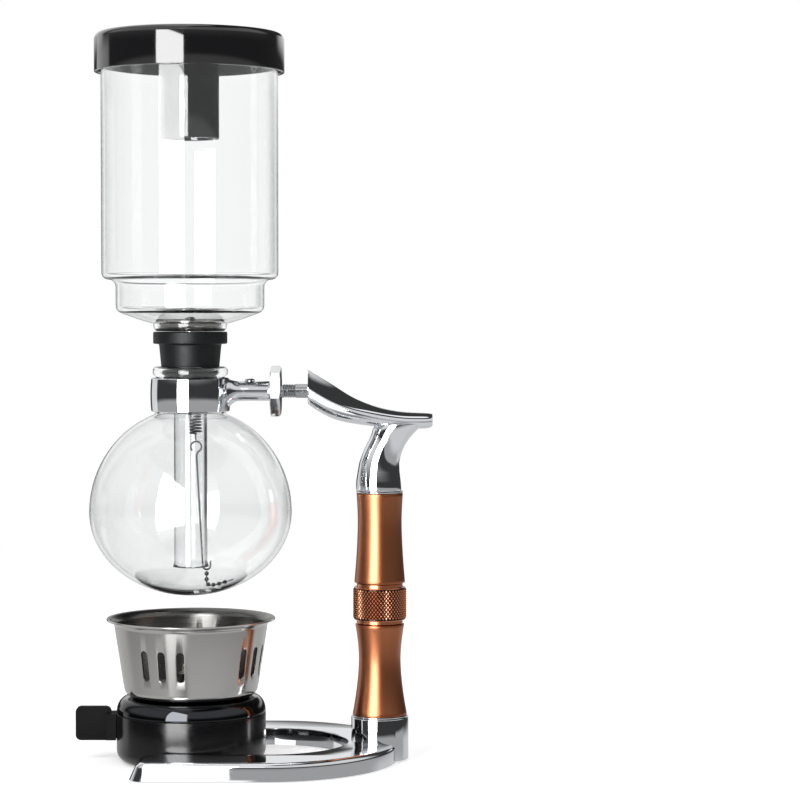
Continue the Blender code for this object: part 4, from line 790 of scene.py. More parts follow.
def wire_from_line(piece, radius, sides=3):
    """Turns a line of edges into a round wire: edges become a curve, the curve gets a bevel, then a mesh."""
    select_only(piece)
    bpy.ops.object.convert(target="CURVE")
    piece.data.bevel_depth = radius * MM
    piece.data.bevel_resolution = sides
    piece.data.use_fill_caps = True
    bpy.ops.object.convert(target="MESH")
    made = bpy.context.object
    edit(made)
    tidy_mesh()
    select_only(made)
    return made


def join(pieces):
    """Joins pieces into the first of them."""
    select_only(pieces[0])
    for piece in pieces:
        piece.select_set(True)
    bpy.ops.object.join()
    return bpy.context.object


def copies_round(piece, count, step_degrees):
    """Copies of a piece with their own meshes, each turned a step further round the upright axis."""
    made = [piece]
    for i in range(1, count):
        select_only(piece)
        bpy.ops.object.duplicate()
        copy = bpy.context.object
        edit(copy)
        rotate_about_z(step_degrees * i)
        select_only(copy)
        made.append(copy)
    return made


strands = []
for way in (1, -1):
    points = []
    for i in range(STRAND_STEPS + 1):
        share = i / STRAND_STEPS
        angle = way * 2 * math.pi * share * (WICK_HIGH - WICK_LOW) / WICK_LEAD
        radius = STRAND_PATH + STRAND_SWING * math.cos(STRANDS_EACH_WAY * angle) * way
        points.append((radius * math.cos(angle), radius * math.sin(angle),
                       WICK_LOW + (WICK_HIGH - WICK_LOW) * share))
    strand = new_piece("wick_strand")
    draw_line(strand, points)
    strand = wire_from_line(strand, STRAND_RADIUS, 2)
    strands += copies_round(strand, STRANDS_EACH_WAY, 360 / STRANDS_EACH_WAY)
core = turned("braided_wick", [(0.0, 47.0), (2.0, 46.9), (3.3, 46.3), (3.6, 45.4), (3.6, 4.0), (0.0, 4.0)],
              steps=24, closed=False)
wick = join([core] + strands)
finish(wick, "wick_carrier", braid, "wick", sharp=60)

# %% [markdown]
# ## The flame lever
# A flat finger pad stands out at the left. It is one moulding with a stubby root close to the tank and
# a thin neck, which ends in a ring round the wick tube. Blocks are joined by Boolean unions into one
# solid, and only then are the edges rounded, so that the bevel also runs along the seams between them.

# %% Flame lever
def block(name, low, high):
    """A box between two corners in millimetres."""
    piece = new_piece(name)
    middle = [(a + b) / 2 * MM for a, b in zip(low, high)]
    size = [(b - a) * MM for a, b in zip(low, high)]
    bpy.ops.mesh.primitive_cube_add(size=1.0, location=middle, scale=size)
    select_only(piece)
    return piece


lever = straight("flame_lever_moulding", (6.7, 10.2), (19.6, 15.0), steps=64)
neck = block("lever_neck", (-40.2, -2.0, 15.0), (-8.4, 2.0, 19.6))
root = block("lever_root", (-41.0, -6.0, 10.4), (-34.4, 6.0, 23.2))
carve(root, straight("tank_tool", (0.0, 36.7), (31.0, 0.0), steps=128))
pad = block("lever_pad", (-56.4, -1.8, 9.8), (-39.2, 1.8, 26.3))
edit(pad)
pick(pad, "EDGE", lambda e: abs(e.verts[0].co.y - e.verts[1].co.y) > MM)
bevel(2.6, 8)
for form in (neck, root, pad):
    carve(lever, form, "UNION")
round_edges(lever, 0.4, 3)
finish(lever, "flame_lever", matt_black, "flame_lever")

# %% [markdown]
# ## The windscreen
# The windscreen is a cup spun from 0.9 mm stainless sheet, flared at the rim, with a hole in the floor
# for the flame. Its outside is drawn once and the inside is the same line moved in by the sheet, so the
# wall has one thickness everywhere, which Solidify would not keep on the flare. The obround slots stand
# in four groups of three. One cutter is drawn and pushed outwards, then copied round.

# %% Windscreen with its slots
SHEET = 0.9


def moved_in(points, wall):
    """The inner skin of a shell whose outer skin is drawn downwards: each point moves in by the wall."""
    made = []
    for i, here in enumerate(points):
        before = points[max(i - 1, 0)]
        after = points[min(i + 1, len(points) - 1)]
        first = Vector((here[0] - before[0], here[1] - before[1])) if i else None
        second = Vector((after[0] - here[0], after[1] - here[1])) if i < len(points) - 1 else first
        first = (first or second).normalized()
        second = second.normalized()
        inward = Vector((first.y + second.y, -first.x - second.x)).normalized()
        reach = wall / max(inward.dot(Vector((second.y, -second.x))), 0.5)
        made.append((max(here[0] + inward.x * reach, 0.0), here[1] + inward.y * reach))
    return made


outer = [(40.9, 68.9)] + arc((40.9, 65.8), (3.7, 3.1), 93, 180, 12)
outer += [(35.15, 52.25), (33.1, 38.7)]
outer += arc((27.6, 36.3), (5.0, 4.6), -4, -90, 12) + [(15.0, 31.7)]
inner = moved_in(outer, SHEET)
inner[0] = (40.9, 69.8)
inner[-1] = (15.0, 31.7 + SHEET)
screen = turned("windscreen_cup", [(41.1, 69.35)] + outer + inner[::-1], steps=180)

SLOTS_IN_GROUP = 3
SLOT_STEP_DEGREES = 15.2
# The middle of each group, in degrees from the front towards the right
SLOT_GROUPS_DEGREES = (-98.5, -19.0, 65.0, 163.0)
SLOT_HALF_WIDTH = 1.95
upper = arc((0.0, 55.35), (SLOT_HALF_WIDTH,) * 2, 0, 180, 8)
lower = arc((0.0, 44.35), (SLOT_HALF_WIDTH,) * 2, 180, 360, 8)
cutter = new_piece("slot_tool")
fill_outline(cutter, [(x, -25.0, z) for x, z in upper + lower])
bpy.ops.mesh.extrude_region_move(TRANSFORM_OT_translate={"value": (0.0, -16.0 * MM, 0.0)})
tidy_mesh()
rotate_about_z(-SLOT_STEP_DEGREES)
cutters = []
for one in copies_round(cutter, SLOTS_IN_GROUP, SLOT_STEP_DEGREES):
    for middle in SLOT_GROUPS_DEGREES:
        cutters.append(copies_round(one, 2, middle)[1])
    bpy.data.objects.remove(one, do_unlink=True)
carve(screen, join(cutters))
round_edges(screen, 0.12, 2, 50)
finish(screen, "windscreen", stainless, "windscreen", sharp=30)

# %% [markdown]
# ## The horseshoe base
# The base is one casting, open to the left, with a broad rounded edge outside and a crisp one inside.
# Its outline is drawn from above and extruded up. The top ends of the two legs are drawn back so the
# tips slope. Then each run of top edges gets its own bevel. The boss for the column is turned and joined.

# %% Horseshoe base
LOOP_X = 38.4
LEG_INNER = 38.0
LEG_OUTER = 62.4
TIP_X = -16.7
TIP_ROUND = 8.0
BASE_LOW = 0.6
BASE_HIGH = 9.3
FOOT_PLACES = ((-11.7, -50.2), (-11.7, 50.2), (70.67, -38.46), (70.67, 38.46))

plan = arc((LOOP_X, 0.0), (LEG_OUTER,) * 2, -90, 90, 72)
plan += arc((TIP_X, LEG_OUTER - TIP_ROUND), (TIP_ROUND,) * 2, 90, 180, 10)
plan += arc((TIP_X, LEG_INNER + TIP_ROUND), (TIP_ROUND,) * 2, 180, 270, 10)
plan += arc((LOOP_X, 0.0), (LEG_INNER,) * 2, 90, -90, 56)
plan += arc((TIP_X, -LEG_INNER - TIP_ROUND), (TIP_ROUND,) * 2, 90, 180, 10)
plan += arc((TIP_X, -LEG_OUTER + TIP_ROUND), (TIP_ROUND,) * 2, 180, 270, 10)
base = new_piece("horseshoe_base")
fill_outline(base, [(x, y, BASE_LOW) for x, y in plan])
bpy.ops.mesh.extrude_region_move(TRANSFORM_OT_translate={"value": (0.0, 0.0, (BASE_HIGH - BASE_LOW) * MM)})
tidy_mesh()
pick(base, "VERT", lambda v: v.co.z > 5 * MM and v.co.x < (TIP_X - 0.01) * MM)
bpy.ops.transform.resize(value=(0.5, 1.0, 1.0), center_override=(TIP_X * MM, 0.0, 0.0))


def faces_burner(edge):
    """Whether a top edge of the horseshoe runs along the side that faces the burner."""
    middle = (edge.verts[0].co + edge.verts[1].co) / 2 / MM
    reach = math.hypot(middle.x - LOOP_X, middle.y) if middle.x > LOOP_X else abs(middle.y)
    return middle.x > TIP_X and reach < LEG_INNER + 0.5


def on_top(edge):
    """Whether both ends of an edge lie at the top of the casting."""
    return min(v.co.z for v in edge.verts) > (BASE_HIGH - 0.001) * MM


pick(base, "EDGE", lambda e: on_top(e) and not faces_burner(e))
bevel(3.0, 8, clamp=True)
pick(base, "EDGE", lambda e: on_top(e) and faces_burner(e) and len(e.link_faces) == 2
     and min(abs(f.normal.z) for f in e.link_faces) < 0.2)
bevel(0.8, 3)
tidy_mesh()

for i, (x, y) in enumerate(FOOT_PLACES):
    pocket = new_piece(f"foot_pocket_tool_{i}")
    bpy.ops.mesh.primitive_cylinder_add(vertices=48, radius=6.3 * MM, depth=3.9 * MM,
                                        location=(x * MM, y * MM, -0.05 * MM))
    carve(base, pocket)
boss = straight("column_boss", (0.0, 14.0), (21.4, 0.9), at_x=COLUMN_X)
round_edges(boss, 0.35, 3)
carve(base, boss, "UNION")
carve(base, turned("rod_tool", [(0.0, 30.0), (ROD_HOLE, 30.0), (ROD_HOLE, 7.8), (6.8, 7.8), (6.8, -2.0),
                                (0.0, -2.0)], steps=48, closed=False, at_x=COLUMN_X))
finish(base, "stand", chrome, "base_casting", sharp=30)

# %% [markdown]
# ## The column
# Two waisted sleeves of copper-coloured aluminium stand on the boss with a knurled ring between them,
# and a thin bright ring closes each end. The sleeves are turned from a curve with one waist. The knurl is
# cut for real: every second vertex of the ring is pushed out, and the quads are split along the
# grooves between them, which gives small four-sided points. A bump map would leave the outline smooth.

# %% Grips, rings and the knurl
SLEEVE_STEPS = 28
SLEEVE_POWER = 1.7


def waisted(low, high, foot, waist, top, waist_share):
    """Points down the side of a sleeve that narrows to a waist and widens again."""
    points = []
    for i in range(SLEEVE_STEPS + 1):
        share = 1 - i / SLEEVE_STEPS
        if share > waist_share:
            radius = waist + (top - waist) * ((share - waist_share) / (1 - waist_share)) ** SLEEVE_POWER
        else:
            radius = waist + (foot - waist) * ((waist_share - share) / waist_share) ** SLEEVE_POWER
        points.append((radius, low + (high - low) * share))
    return points


for name, node, low, high, foot, waist, top, share in (
        ("lower_sleeve", "grip_lower", 22.6, 66.8, 13.3, 10.2, 12.0, 0.61),
        ("upper_sleeve", "grip_upper", 87.1, 130.7, 12.4, 10.7, 11.3, 0.68)):
    side = waisted(low, high, foot, waist, top, share)
    sleeve = turned(name, [(ROD_HOLE, high)] + side + [(ROD_HOLE, low)], at_x=COLUMN_X)
    round_edges(sleeve, 0.25, 2)
    finish(sleeve, "stand", copper, node)

SEAT_RING_HEIGHT = 0.6
for name, node, radius, low in (("lower_bright_ring", "seat_ring_lower", 13.6, 21.7),
                                ("upper_bright_ring", "seat_ring_upper", 11.4, 131.0)):
    ring = straight(name, (ROD_HOLE, radius), (low + SEAT_RING_HEIGHT, low), at_x=COLUMN_X)
    round_edges(ring, 0.2, 3)
    finish(ring, "stand", chrome, node)

# A real knurl is finer than this. It is drawn a third coarser, or it would blur away at a metre's distance.
KNURL_COLUMNS = 92
KNURL_ROWS = 14
GROOVE_RADIUS = 12.55
POINT_RADIUS = 13.1
knurl_step = (KNURL_HIGH - KNURL_LOW) / KNURL_ROWS
wall = [(GROOVE_RADIUS, KNURL_HIGH - knurl_step * i) for i in range(KNURL_ROWS + 1)]
knurl = turned("knurled_ring", [(ROD_HOLE, 86.8), (10.9, 86.8), (11.2, 86.5), (11.2, 84.9), (12.3, 84.9)]
               + wall + [(12.3, 69.0), (11.2, 69.0), (11.2, 67.4), (10.9, 67.1), (ROD_HOLE, 67.1)],
               steps=KNURL_COLUMNS, at_x=COLUMN_X)


def is_knurl_point(vert):
    """Whether a vertex of the ring is one of the points between the crossing grooves."""
    x, y, z = (vert.co.x / MM - COLUMN_X, vert.co.y / MM, vert.co.z / MM)
    row = round((KNURL_HIGH - z) / knurl_step)
    column = round(math.atan2(y, x) / (2 * math.pi / KNURL_COLUMNS))
    return abs(math.hypot(x, y) - GROOVE_RADIUS) < 0.05 and 0 < row < KNURL_ROWS and (row + column) % 2 == 0


edit(knurl)
pushed = pick(knurl, "VERT", is_knurl_point)
push = POINT_RADIUS / GROOVE_RADIUS
bpy.ops.transform.resize(value=(push, push, 1.0), center_override=(COLUMN_X * MM, 0.0, 0.0))


def in_knurl(face):
    """Whether a face belongs to the knurled band."""
    x, y, z = face.calc_center_median() / MM
    return KNURL_LOW < z < KNURL_HIGH and math.hypot(x - COLUMN_X, y) > 12.4


pick(knurl, "FACE", in_knurl)
bpy.ops.mesh.quads_convert_to_tris(quad_method="SHORTEST_DIAGONAL", ngon_method="BEAUTY")
finish(knurl, "stand", knurled_copper, "grip_knurled_ring", sharp=20)
print("points of the knurl:", pushed)

# %% [markdown]
# ## The arm
# The arm sweeps up from the column like a horn and ends in a blunt tip where the stud goes in. Its top
# starts as a thin crest with a hollow flank beside it, and widens to a rest for the thumb. A fine groove
# runs along each side. Sections are drawn at stations along the arm and bridged, and the subdivided
# skin stays crisp along the crest, the ridge and the groove because those edges are creased. The neck
# is a row of circles that lean, bridged in the same way and joined.

# %% Arm and neck
# Share along the arm, shares of its height for the crest and the underside, share of its width
ARM_STATIONS = (
    (0.00, 1.000, 0.415, 0.80), (0.05, 0.936, 0.340, 0.845), (0.10, 0.875, 0.275, 0.88),
    (0.19, 0.762, 0.171, 0.93), (0.28, 0.636, 0.118, 0.97), (0.37, 0.520, 0.084, 1.00),
    (0.48, 0.425, 0.052, 1.00), (0.59, 0.345, 0.030, 1.00), (0.75, 0.285, 0.008, 0.92),
    (0.85, 0.275, 0.002, 0.86), (0.93, 0.270, 0.000, 0.80), (0.975, 0.264, 0.012, 0.75),
    (1.00, 0.252, 0.045, 0.66),
)
# Half sections from the crest down, in shares of half the width and of the height, at the tip and the rest
TIP_SECTION = ((0.0, 1.0), (0.05, 0.995), (0.22, 0.84), (0.45, 0.69), (0.70, 0.60), (0.88, 0.555),
               (0.985, 0.50), (1.0, 0.455), (0.955, 0.43), (0.995, 0.40), (0.97, 0.30), (0.80, 0.13),
               (0.42, 0.015), (0.0, 0.0))
REST_SECTION = ((0.0, 1.0), (0.30, 0.985), (0.52, 0.94), (0.70, 0.87), (0.83, 0.79), (0.92, 0.70),
                (0.98, 0.60), (1.0, 0.50), (0.95, 0.46), (1.0, 0.42), (0.97, 0.30), (0.80, 0.12),
                (0.42, 0.015), (0.0, 0.0))
ARM_LEFT = 57.2
ARM_LENGTH = 60.6
ARM_LOW = 162.0
ARM_HEIGHT = 28.7
ARM_WIDTH = 19.0


def arm_section(along, high, low, wide):
    """The closed section of the arm at a share along it, in millimetres."""
    blend = min(max((along - 0.12) / 0.5, 0.0), 1.0)
    blend = blend * blend * (3 - 2 * blend)
    side = []
    for (y_tip, z_tip), (y_rest, z_rest) in zip(TIP_SECTION, REST_SECTION):
        y = (y_tip + (y_rest - y_tip) * blend) * wide * ARM_WIDTH / 2
        share = z_tip + (z_rest - z_tip) * blend
        side.append((y, ARM_LOW + (low + (high - low) * share) * ARM_HEIGHT))
    across = side + [(-y, z) for y, z in side[-2:0:-1]]
    return [(ARM_LEFT + along * ARM_LENGTH, y, z) for y, z in across]


arm = new_piece("arm_horn")
for station in ARM_STATIONS:
    draw_line(arm, arm_section(*station), closed=True)
bridge_rings()
# The crest, the ridge and both edges of the groove, as places in a half section
CREASED_PLACES = (1, 7, 8, 9)
creased = []
for station in ARM_STATIONS:
    ring = arm_section(*station)
    for place in CREASED_PLACES:
        for index in (place, len(ring) - place):
            creased.append(Vector(ring[index]) * MM)


def is_crease(edge):
    """Whether an edge runs lengthwise along the crest, the ridge or the groove."""
    if abs(edge.verts[0].co.x - edge.verts[1].co.x) < 0.2 * MM:
        return False
    return all(min((v.co - spot).length for spot in creased) < MERGE for v in edge.verts)


print("creased edges:", pick(arm, "EDGE", is_crease))
bpy.ops.transform.edge_crease(value=0.85)
ends = (ARM_LEFT * MM, (ARM_LEFT + ARM_LENGTH) * MM)
pick(arm, "EDGE", lambda e: any(all(abs(v.co.x - end) < MERGE for v in e.verts) for end in ends))
bpy.ops.transform.edge_crease(value=0.8)
modify(arm, "SUBSURF", levels=2, render_levels=2)

# Share up the neck, share of its lean, share of its radius
NECK_STATIONS = ((0.0, -0.04, 1.0), (0.08, -0.055, 0.995), (0.16, -0.06, 0.98), (0.29, -0.05, 0.925),
                 (0.42, -0.02, 0.885), (0.55, 0.10, 0.855), (0.67, 0.27, 0.85), (0.77, 0.46, 0.87),
                 (0.85, 0.62, 0.92), (0.92, 0.76, 1.0), (1.0, 0.95, 1.02))
NECK_LOW = 131.9
NECK_RISE = 32.5
NECK_LEAN = 10.0
NECK_FOOT = 11.0
neck = new_piece("arm_neck")
for up, lean, size in NECK_STATIONS:
    place = ((COLUMN_X + lean * NECK_LEAN) * MM, 0.0, (NECK_LOW + up * NECK_RISE) * MM)
    bpy.ops.mesh.primitive_circle_add(vertices=64, radius=NECK_FOOT * size * MM, location=place,
                                      fill_type="NOTHING")
bridge_rings()
round_edges(neck, 0.3, 2, 60)
carve(arm, neck, "UNION")
carve(arm, straight("rod_hole_tool", (0.0, ROD_HOLE), (145.2, 128.0), steps=32, at_x=COLUMN_X))
stud_hole = straight("stud_hole_tool", (0.0, 3.7), (63.5, 50.0), steps=32)
lay_along_x(stud_hole, STUD_Z)
carve(arm, stud_hole)
finish(arm, "stand", chrome, "arm_casting", sharp=28)

# %% [markdown]
# ## The collar and its stem
# A chromed band holds the neck of the globe. It is drawn out to one side into a round stem, which leaves
# the band at its full height and narrows in a fillet. The band is turned with a slight barrel shape. The
# stem is a row of ovals, squarish at the band and round further out, and a union joins the two.

# %% Clamp collar
COLLAR_LOW = 170.45
COLLAR_HIGH = 186.75
COLLAR_BORE = 18.0
COLLAR_RADIUS = 19.4
COLLAR_BARREL = 0.4
COLLAR_ROUND = 0.85
COLLAR_STEPS = 12
STEM_END = 38.8
STEM_SIDES = 64
SCREW_X = 28.9

middle = (COLLAR_LOW + COLLAR_HIGH) / 2
side = [(COLLAR_RADIUS - COLLAR_ROUND, COLLAR_HIGH)]
for i in range(COLLAR_STEPS + 1):
    share = 1 - 2 * i / COLLAR_STEPS
    side.append((COLLAR_RADIUS - COLLAR_BARREL * share ** 2, middle + share * (COLLAR_HIGH - middle - 0.4)))
side += [(COLLAR_RADIUS - COLLAR_ROUND, COLLAR_LOW)]
collar = turned("collar_band", [(COLLAR_BORE, COLLAR_HIGH)] + side + [(COLLAR_BORE, COLLAR_LOW)], steps=160)
# Place along X, half width, top, bottom and squareness of each oval
STEM_STATIONS = (
    (17.0, 7.60, 186.20, 171.60, 3.4), (18.8, 6.90, 186.02, 172.60, 3.0), (19.6, 6.20, 185.85, 173.45, 2.7),
    (20.5, 5.60, 185.62, 174.25, 2.5), (21.5, 5.15, 185.42, 174.90, 2.3), (22.6, 4.90, 185.28, 175.35, 2.1),
    (24.0, 4.80, 185.20, 175.55, 2.0), (26.0, 4.80, 185.20, 175.60, 2.0),
    (STEM_END, 4.80, 185.20, 175.60, 2.0))


def squarish(value, squareness):
    """A sine or cosine drawn out towards the corners of a square, or plain where squareness is 2."""
    return math.copysign(abs(value) ** (2 / squareness), value)


stem = new_piece("collar_stem")
for x, half_width, top, bottom, squareness in STEM_STATIONS:
    oval = []
    for i in range(STEM_SIDES):
        angle = 2 * math.pi * i / STEM_SIDES
        oval.append((x, squarish(math.cos(angle), squareness) * half_width,
                     (top + bottom) / 2 + squarish(math.sin(angle), squareness) * (top - bottom) / 2))
    draw_line(stem, oval, closed=True)
bridge_rings()
round_edges(stem, 0.25, 3)
carve(stem, straight("band_tool", (0.0, 18.7), (195.0, 160.0), steps=160))
stud_bore = straight("stud_bore_tool", (0.0, 3.2), (45.0, 32.5), steps=32)
lay_along_x(stud_bore, STUD_Z)
carve(stem, stud_bore)
carve(stem, straight("screw_bore_tool", (0.0, 1.5), (190.0, 181.5), steps=24, at_x=SCREW_X))
carve(collar, stem, "UNION")
finish(collar, "globe_clamp", chrome, "clamp_collar", sharp=28)

# %% [markdown]
# ## Clamp screw and rubber band
# A small pan-head screw sits in the top of the stem, with a slot across its head. Its head is turned and
# the slot is cut with a thin block. The rubber band between the glass and the metal shows as a dark
# line above and below the collar.

# %% Clamp screw and liner
screw = turned("pan_head_screw", [(0.0, 186.5), (1.1, 186.45), (1.9, 186.2), (2.45, 185.85), (2.65, 185.5),
                                  (1.2, 185.5), (1.2, 181.8), (0.0, 181.8)],
               steps=40, closed=False, at_x=SCREW_X)
carve(screw, block("screw_slot_tool", (25.5, -0.3, 186.0), (32.3, 0.3, 187.5)))
finish(screw, "globe_clamp", bright_steel, "clamp_screw")

liner = straight("neck_band", (16.9, 17.7), (185.75, 171.45))
round_edges(liner, 0.2, 2)
finish(liner, "globe_clamp", rubber, "collar_liner")

# %% [markdown]
# ## The stud and its thread
# The stud is plain where it enters the arm and threaded under the nut. A thread is one tooth carried
# round in a spiral. The screw modifier does exactly that: it turns the tooth and moves it along by one
# pitch each time round. The tooth is a closed shape whose foot lies inside the core.

# %% Threaded stud
THREAD_PITCH = 1.3
THREAD_TURNS = 5
THREAD_START = 44.4
STUD_CORE = 2.9
THREAD_RADIUS = 3.38

core = turned("stud_bar", [(0.0, 63.2), (3.1, 63.2), (3.4, 62.9), (3.4, 51.3), (STUD_CORE, 50.8),
                           (STUD_CORE, 33.1), (0.0, 33.1)], steps=48, closed=False)
tooth = new_piece("stud_thread")
half = THREAD_PITCH / 2
draw_line(tooth, [(2.7, 0.0, -half + 0.03), (STUD_CORE, 0.0, -half + 0.05), (THREAD_RADIUS, 0.0, -0.1),
                  (THREAD_RADIUS, 0.0, 0.1), (STUD_CORE, 0.0, half - 0.05), (2.7, 0.0, half - 0.03)],
          closed=True)
bpy.ops.mesh.select_all(action="SELECT")
bpy.ops.transform.translate(value=(0.0, 0.0, (THREAD_START + half) * MM))
modify(tooth, "SCREW", axis="Z", angle=2 * math.pi, screw_offset=THREAD_PITCH * MM,
       iterations=THREAD_TURNS, steps=32, render_steps=32, use_merge_vertices=False)
edit(tooth)
bpy.ops.mesh.fill_holes(sides=0)
tidy_mesh()
stud = join([core, tooth])
lay_along_x(stud, STUD_Z)
finish(stud, "globe_clamp", bright_steel, "threaded_stud")

# %% [markdown]
# ## The lock nut
# The large nut is a thick six-sided plate. A chamfered nut is a hexagon cut by a shallow double cone,
# so the corners are taken off in curved arcs, and that is how it is made: a six-sided cylinder
# intersected with a turned form.

# %% Lock nut
NUT_FLATS = 22.0
NUT_LOW = 39.1
NUT_HIGH = 44.1
corner = NUT_FLATS / 2 / math.cos(math.pi / 6)
nut = new_piece("hexagon_nut")
bpy.ops.mesh.primitive_cylinder_add(vertices=6, radius=corner * MM, depth=(NUT_HIGH - NUT_LOW) * MM,
                                    location=(0.0, 0.0, (NUT_LOW + NUT_HIGH) / 2 * MM))
bpy.ops.mesh.select_all(action="SELECT")
rotate_about_z(15.0)
carve(nut, turned("nut_form_tool", [(0.0, NUT_HIGH + 0.2), (11.1, NUT_HIGH + 0.2), (13.2, NUT_HIGH - 0.85),
                                    (13.2, NUT_LOW + 0.85), (11.1, NUT_LOW - 0.2), (0.0, NUT_LOW - 0.2)],
                  steps=96, closed=False), "INTERSECT")
carve(nut, turned("nut_bore_tool", [(0.0, NUT_HIGH + 0.6), (4.3, NUT_HIGH + 0.6), (3.7, NUT_HIGH),
                                    (3.7, NUT_LOW), (4.3, NUT_LOW - 0.6), (0.0, NUT_LOW - 0.6)],
                  steps=48, closed=False))
round_edges(nut, 0.35, 3, 30)
lay_along_x(nut, STUD_Z)
finish(nut, "lock_nut", chrome, "lock_nut", sharp=28)

# %% [markdown]
# ## The globe
# The globe is blown: a flattened ball that runs up into a short neck and ends in a thick rolled lip.
# The outer skin is drawn downwards from the neck and moved in by the wall for the inner skin, and the
# lip joins the two. Blown glass has no sharp edge, so the turn into the neck is rounded.

# %% Globe
GLOBE_Z = 121.629
GLOBE_RADIUS = 49.15
GLOBE_WALL = 1.6
GLOBE_RISE = 50.7
GLOBE_DROP = 40.779
NECK_RADIUS = 16.6
LIP_TOP = 187.05
neck_angle = math.degrees(math.acos(NECK_RADIUS / GLOBE_RADIUS))

ball = arc((0.0, GLOBE_Z), (GLOBE_RADIUS, GLOBE_RISE), neck_angle - 1.5, 0, 36)
ball += arc((0.0, GLOBE_Z), (GLOBE_RADIUS, GLOBE_DROP), 0, -90, 36)[1:]
skin = [(NECK_RADIUS, LIP_TOP), (NECK_RADIUS, 172.4), (NECK_RADIUS + 0.12, 171.0),
        (NECK_RADIUS + 0.5, 169.75)] + ball
skin[-1] = (0.0, GLOBE_Z - GLOBE_DROP)
hollow = moved_in(skin, GLOBE_WALL)
hollow[0] = (NECK_RADIUS - GLOBE_WALL, LIP_TOP)
hollow[-1] = (0.0, GLOBE_Z - GLOBE_DROP + GLOBE_WALL)
lip = arc(((18.25 + 14.6) / 2, 189.65), ((18.25 - 14.6) / 2, 2.6), 205, -25, 18)
globe = turned("blown_globe", hollow[::-1] + lip + skin, steps=192, closed=False)
finish(globe, "globe_clamp", globe_glass, "globe", sharp=60)

# %% [markdown]
# ## The upper chamber
# The upper glass is a drawn tube closed to a stepped shoulder, with a dished floor and a long thin tube
# fused to it. It is one outline from the rim down to the end of the tube and back up inside. The rim is
# fire-polished to a half round, and the step is two quarter circles that meet in an S.

# %% Chamber glass
CHAMBER_WALL = 1.8
TUBE_END = 94.65

body = arc((41.95, 349.65), (0.9, 0.9), 90, 0, 5) + [(42.85, 320.0), (42.85, 280.0), (42.85, 240.0)]
body += arc((39.425, 238.05), (3.425, 3.5), 0, -90, 9)[1:]
body += arc((39.425, 231.05), (3.425, 3.5), 90, 180, 9)[1:]
body += [(36.0, 226.5)] + arc((32.0, 222.05), (4.0, 4.0), 0, -74, 9)
body += [(25.5, 215.4), (19.6, 213.6)] + arc((16.0, 212.75), (1.9, 3.2), 8, -88, 8)
inside = moved_in(body, CHAMBER_WALL)
inside[0] = (41.95, 350.55)
inside[1:6] = arc((41.95, 349.65), (0.9, 0.9), 108, 180, 4)
tube_side = [(8.0, z) for z in (209.55, 170.0, 130.0, 97.6)] + [(8.15, 96.4), (8.5, 95.3), (8.8, TUBE_END)]
tube_inside = [(7.9, TUBE_END), (7.2, 95.6), (6.85, 96.6)] + [(6.8, z) for z in (97.6, 130.0, 170.0, 211.35)]
outline = body + tube_side + tube_inside + inside[:0:-1]
chamber = turned("chamber_vessel", outline, steps=192)
finish(chamber, "upper_chamber", glass, "chamber_glass", sharp=60)

# %% [markdown]
# ## The stopper
# The stopper is a tapered rubber plug with a thick flange, moulded round the tube. It is turned and its
# edges are rounded generously, since moulded rubber has no crisp corner.

# %% Stopper
stopper = turned("rubber_stopper", [(8.3, 209.25), (18.0, 209.25), (18.0, 203.35), (15.2, 203.35),
                                    (15.05, 202.2), (14.1, 192.25), (12.7, 180.4), (8.3, 180.05)], steps=128)
round_edges(stopper, 0.7, 4, 30)
finish(stopper, "upper_chamber", rubber, "stopper", sharp=50)

# %% [markdown]
# ## The cloth filter
# A round of flannel is stretched over a perforated steel disc and drawn down on the glass by a spring.
# The cloth is a pad a little under 3 mm thick that puffs up between the hub and the rim. It starts as a
# turned shape and a gentle displacement makes it uneven, as cloth is. The disc's holes are copies of one
# cylinder, placed in rings and cut in one go.

# %% Cloth, disc and hub
pad_top = [(1.7, 213.75), (3.2, 214.1), (7.0, 214.25), (11.5, 214.2), (13.8, 213.9), (14.8, 213.4)]
pad_under = [(15.2, 212.8), (14.9, 212.1), (13.9, 211.75), (11.0, 211.65), (6.0, 211.7), (1.7, 211.9)]
cloth = turned("flannel_filter", pad_top + pad_under, steps=72)
edit(cloth)
bpy.ops.mesh.subdivide(number_cuts=1, smoothness=0.0)
puckers = bpy.data.textures.new("puckers", "CLOUDS")
puckers.noise_scale = 2.6 * MM
modify(cloth, "DISPLACE", texture=puckers, texture_coords="LOCAL", strength=0.3 * MM, mid_level=0.9)
finish(cloth, "upper_chamber", flannel, "filter_cloth", sharp=70)

disc = straight("perforated_disc", (1.7, 13.6), (215.35, 214.55))
holes = []
for radius, count in ((4.8, 10), (7.6, 16), (10.6, 22)):
    hole = new_piece("hole_tool")
    bpy.ops.mesh.primitive_cylinder_add(vertices=10, radius=0.75 * MM, depth=3 * MM,
                                        location=(radius * MM, 0.0, 214.95 * MM))
    holes += copies_round(hole, count, 360 / count)
carve(disc, join(holes))
finish(disc, "upper_chamber", stainless, "filter_disc", sharp=30)

hub = turned("filter_hub_pin", [(0.0, 217.45), (1.2, 217.35), (2.2, 216.9), (2.8, 216.2), (3.0, 215.65),
                                (1.4, 215.65), (1.4, 211.35), (2.2, 211.35), (2.2, 204.55), (0.0, 204.55)],
             steps=40, closed=False)
round_edges(hub, 0.2, 2, 50)
finish(hub, "upper_chamber", bright_steel, "filter_hub")
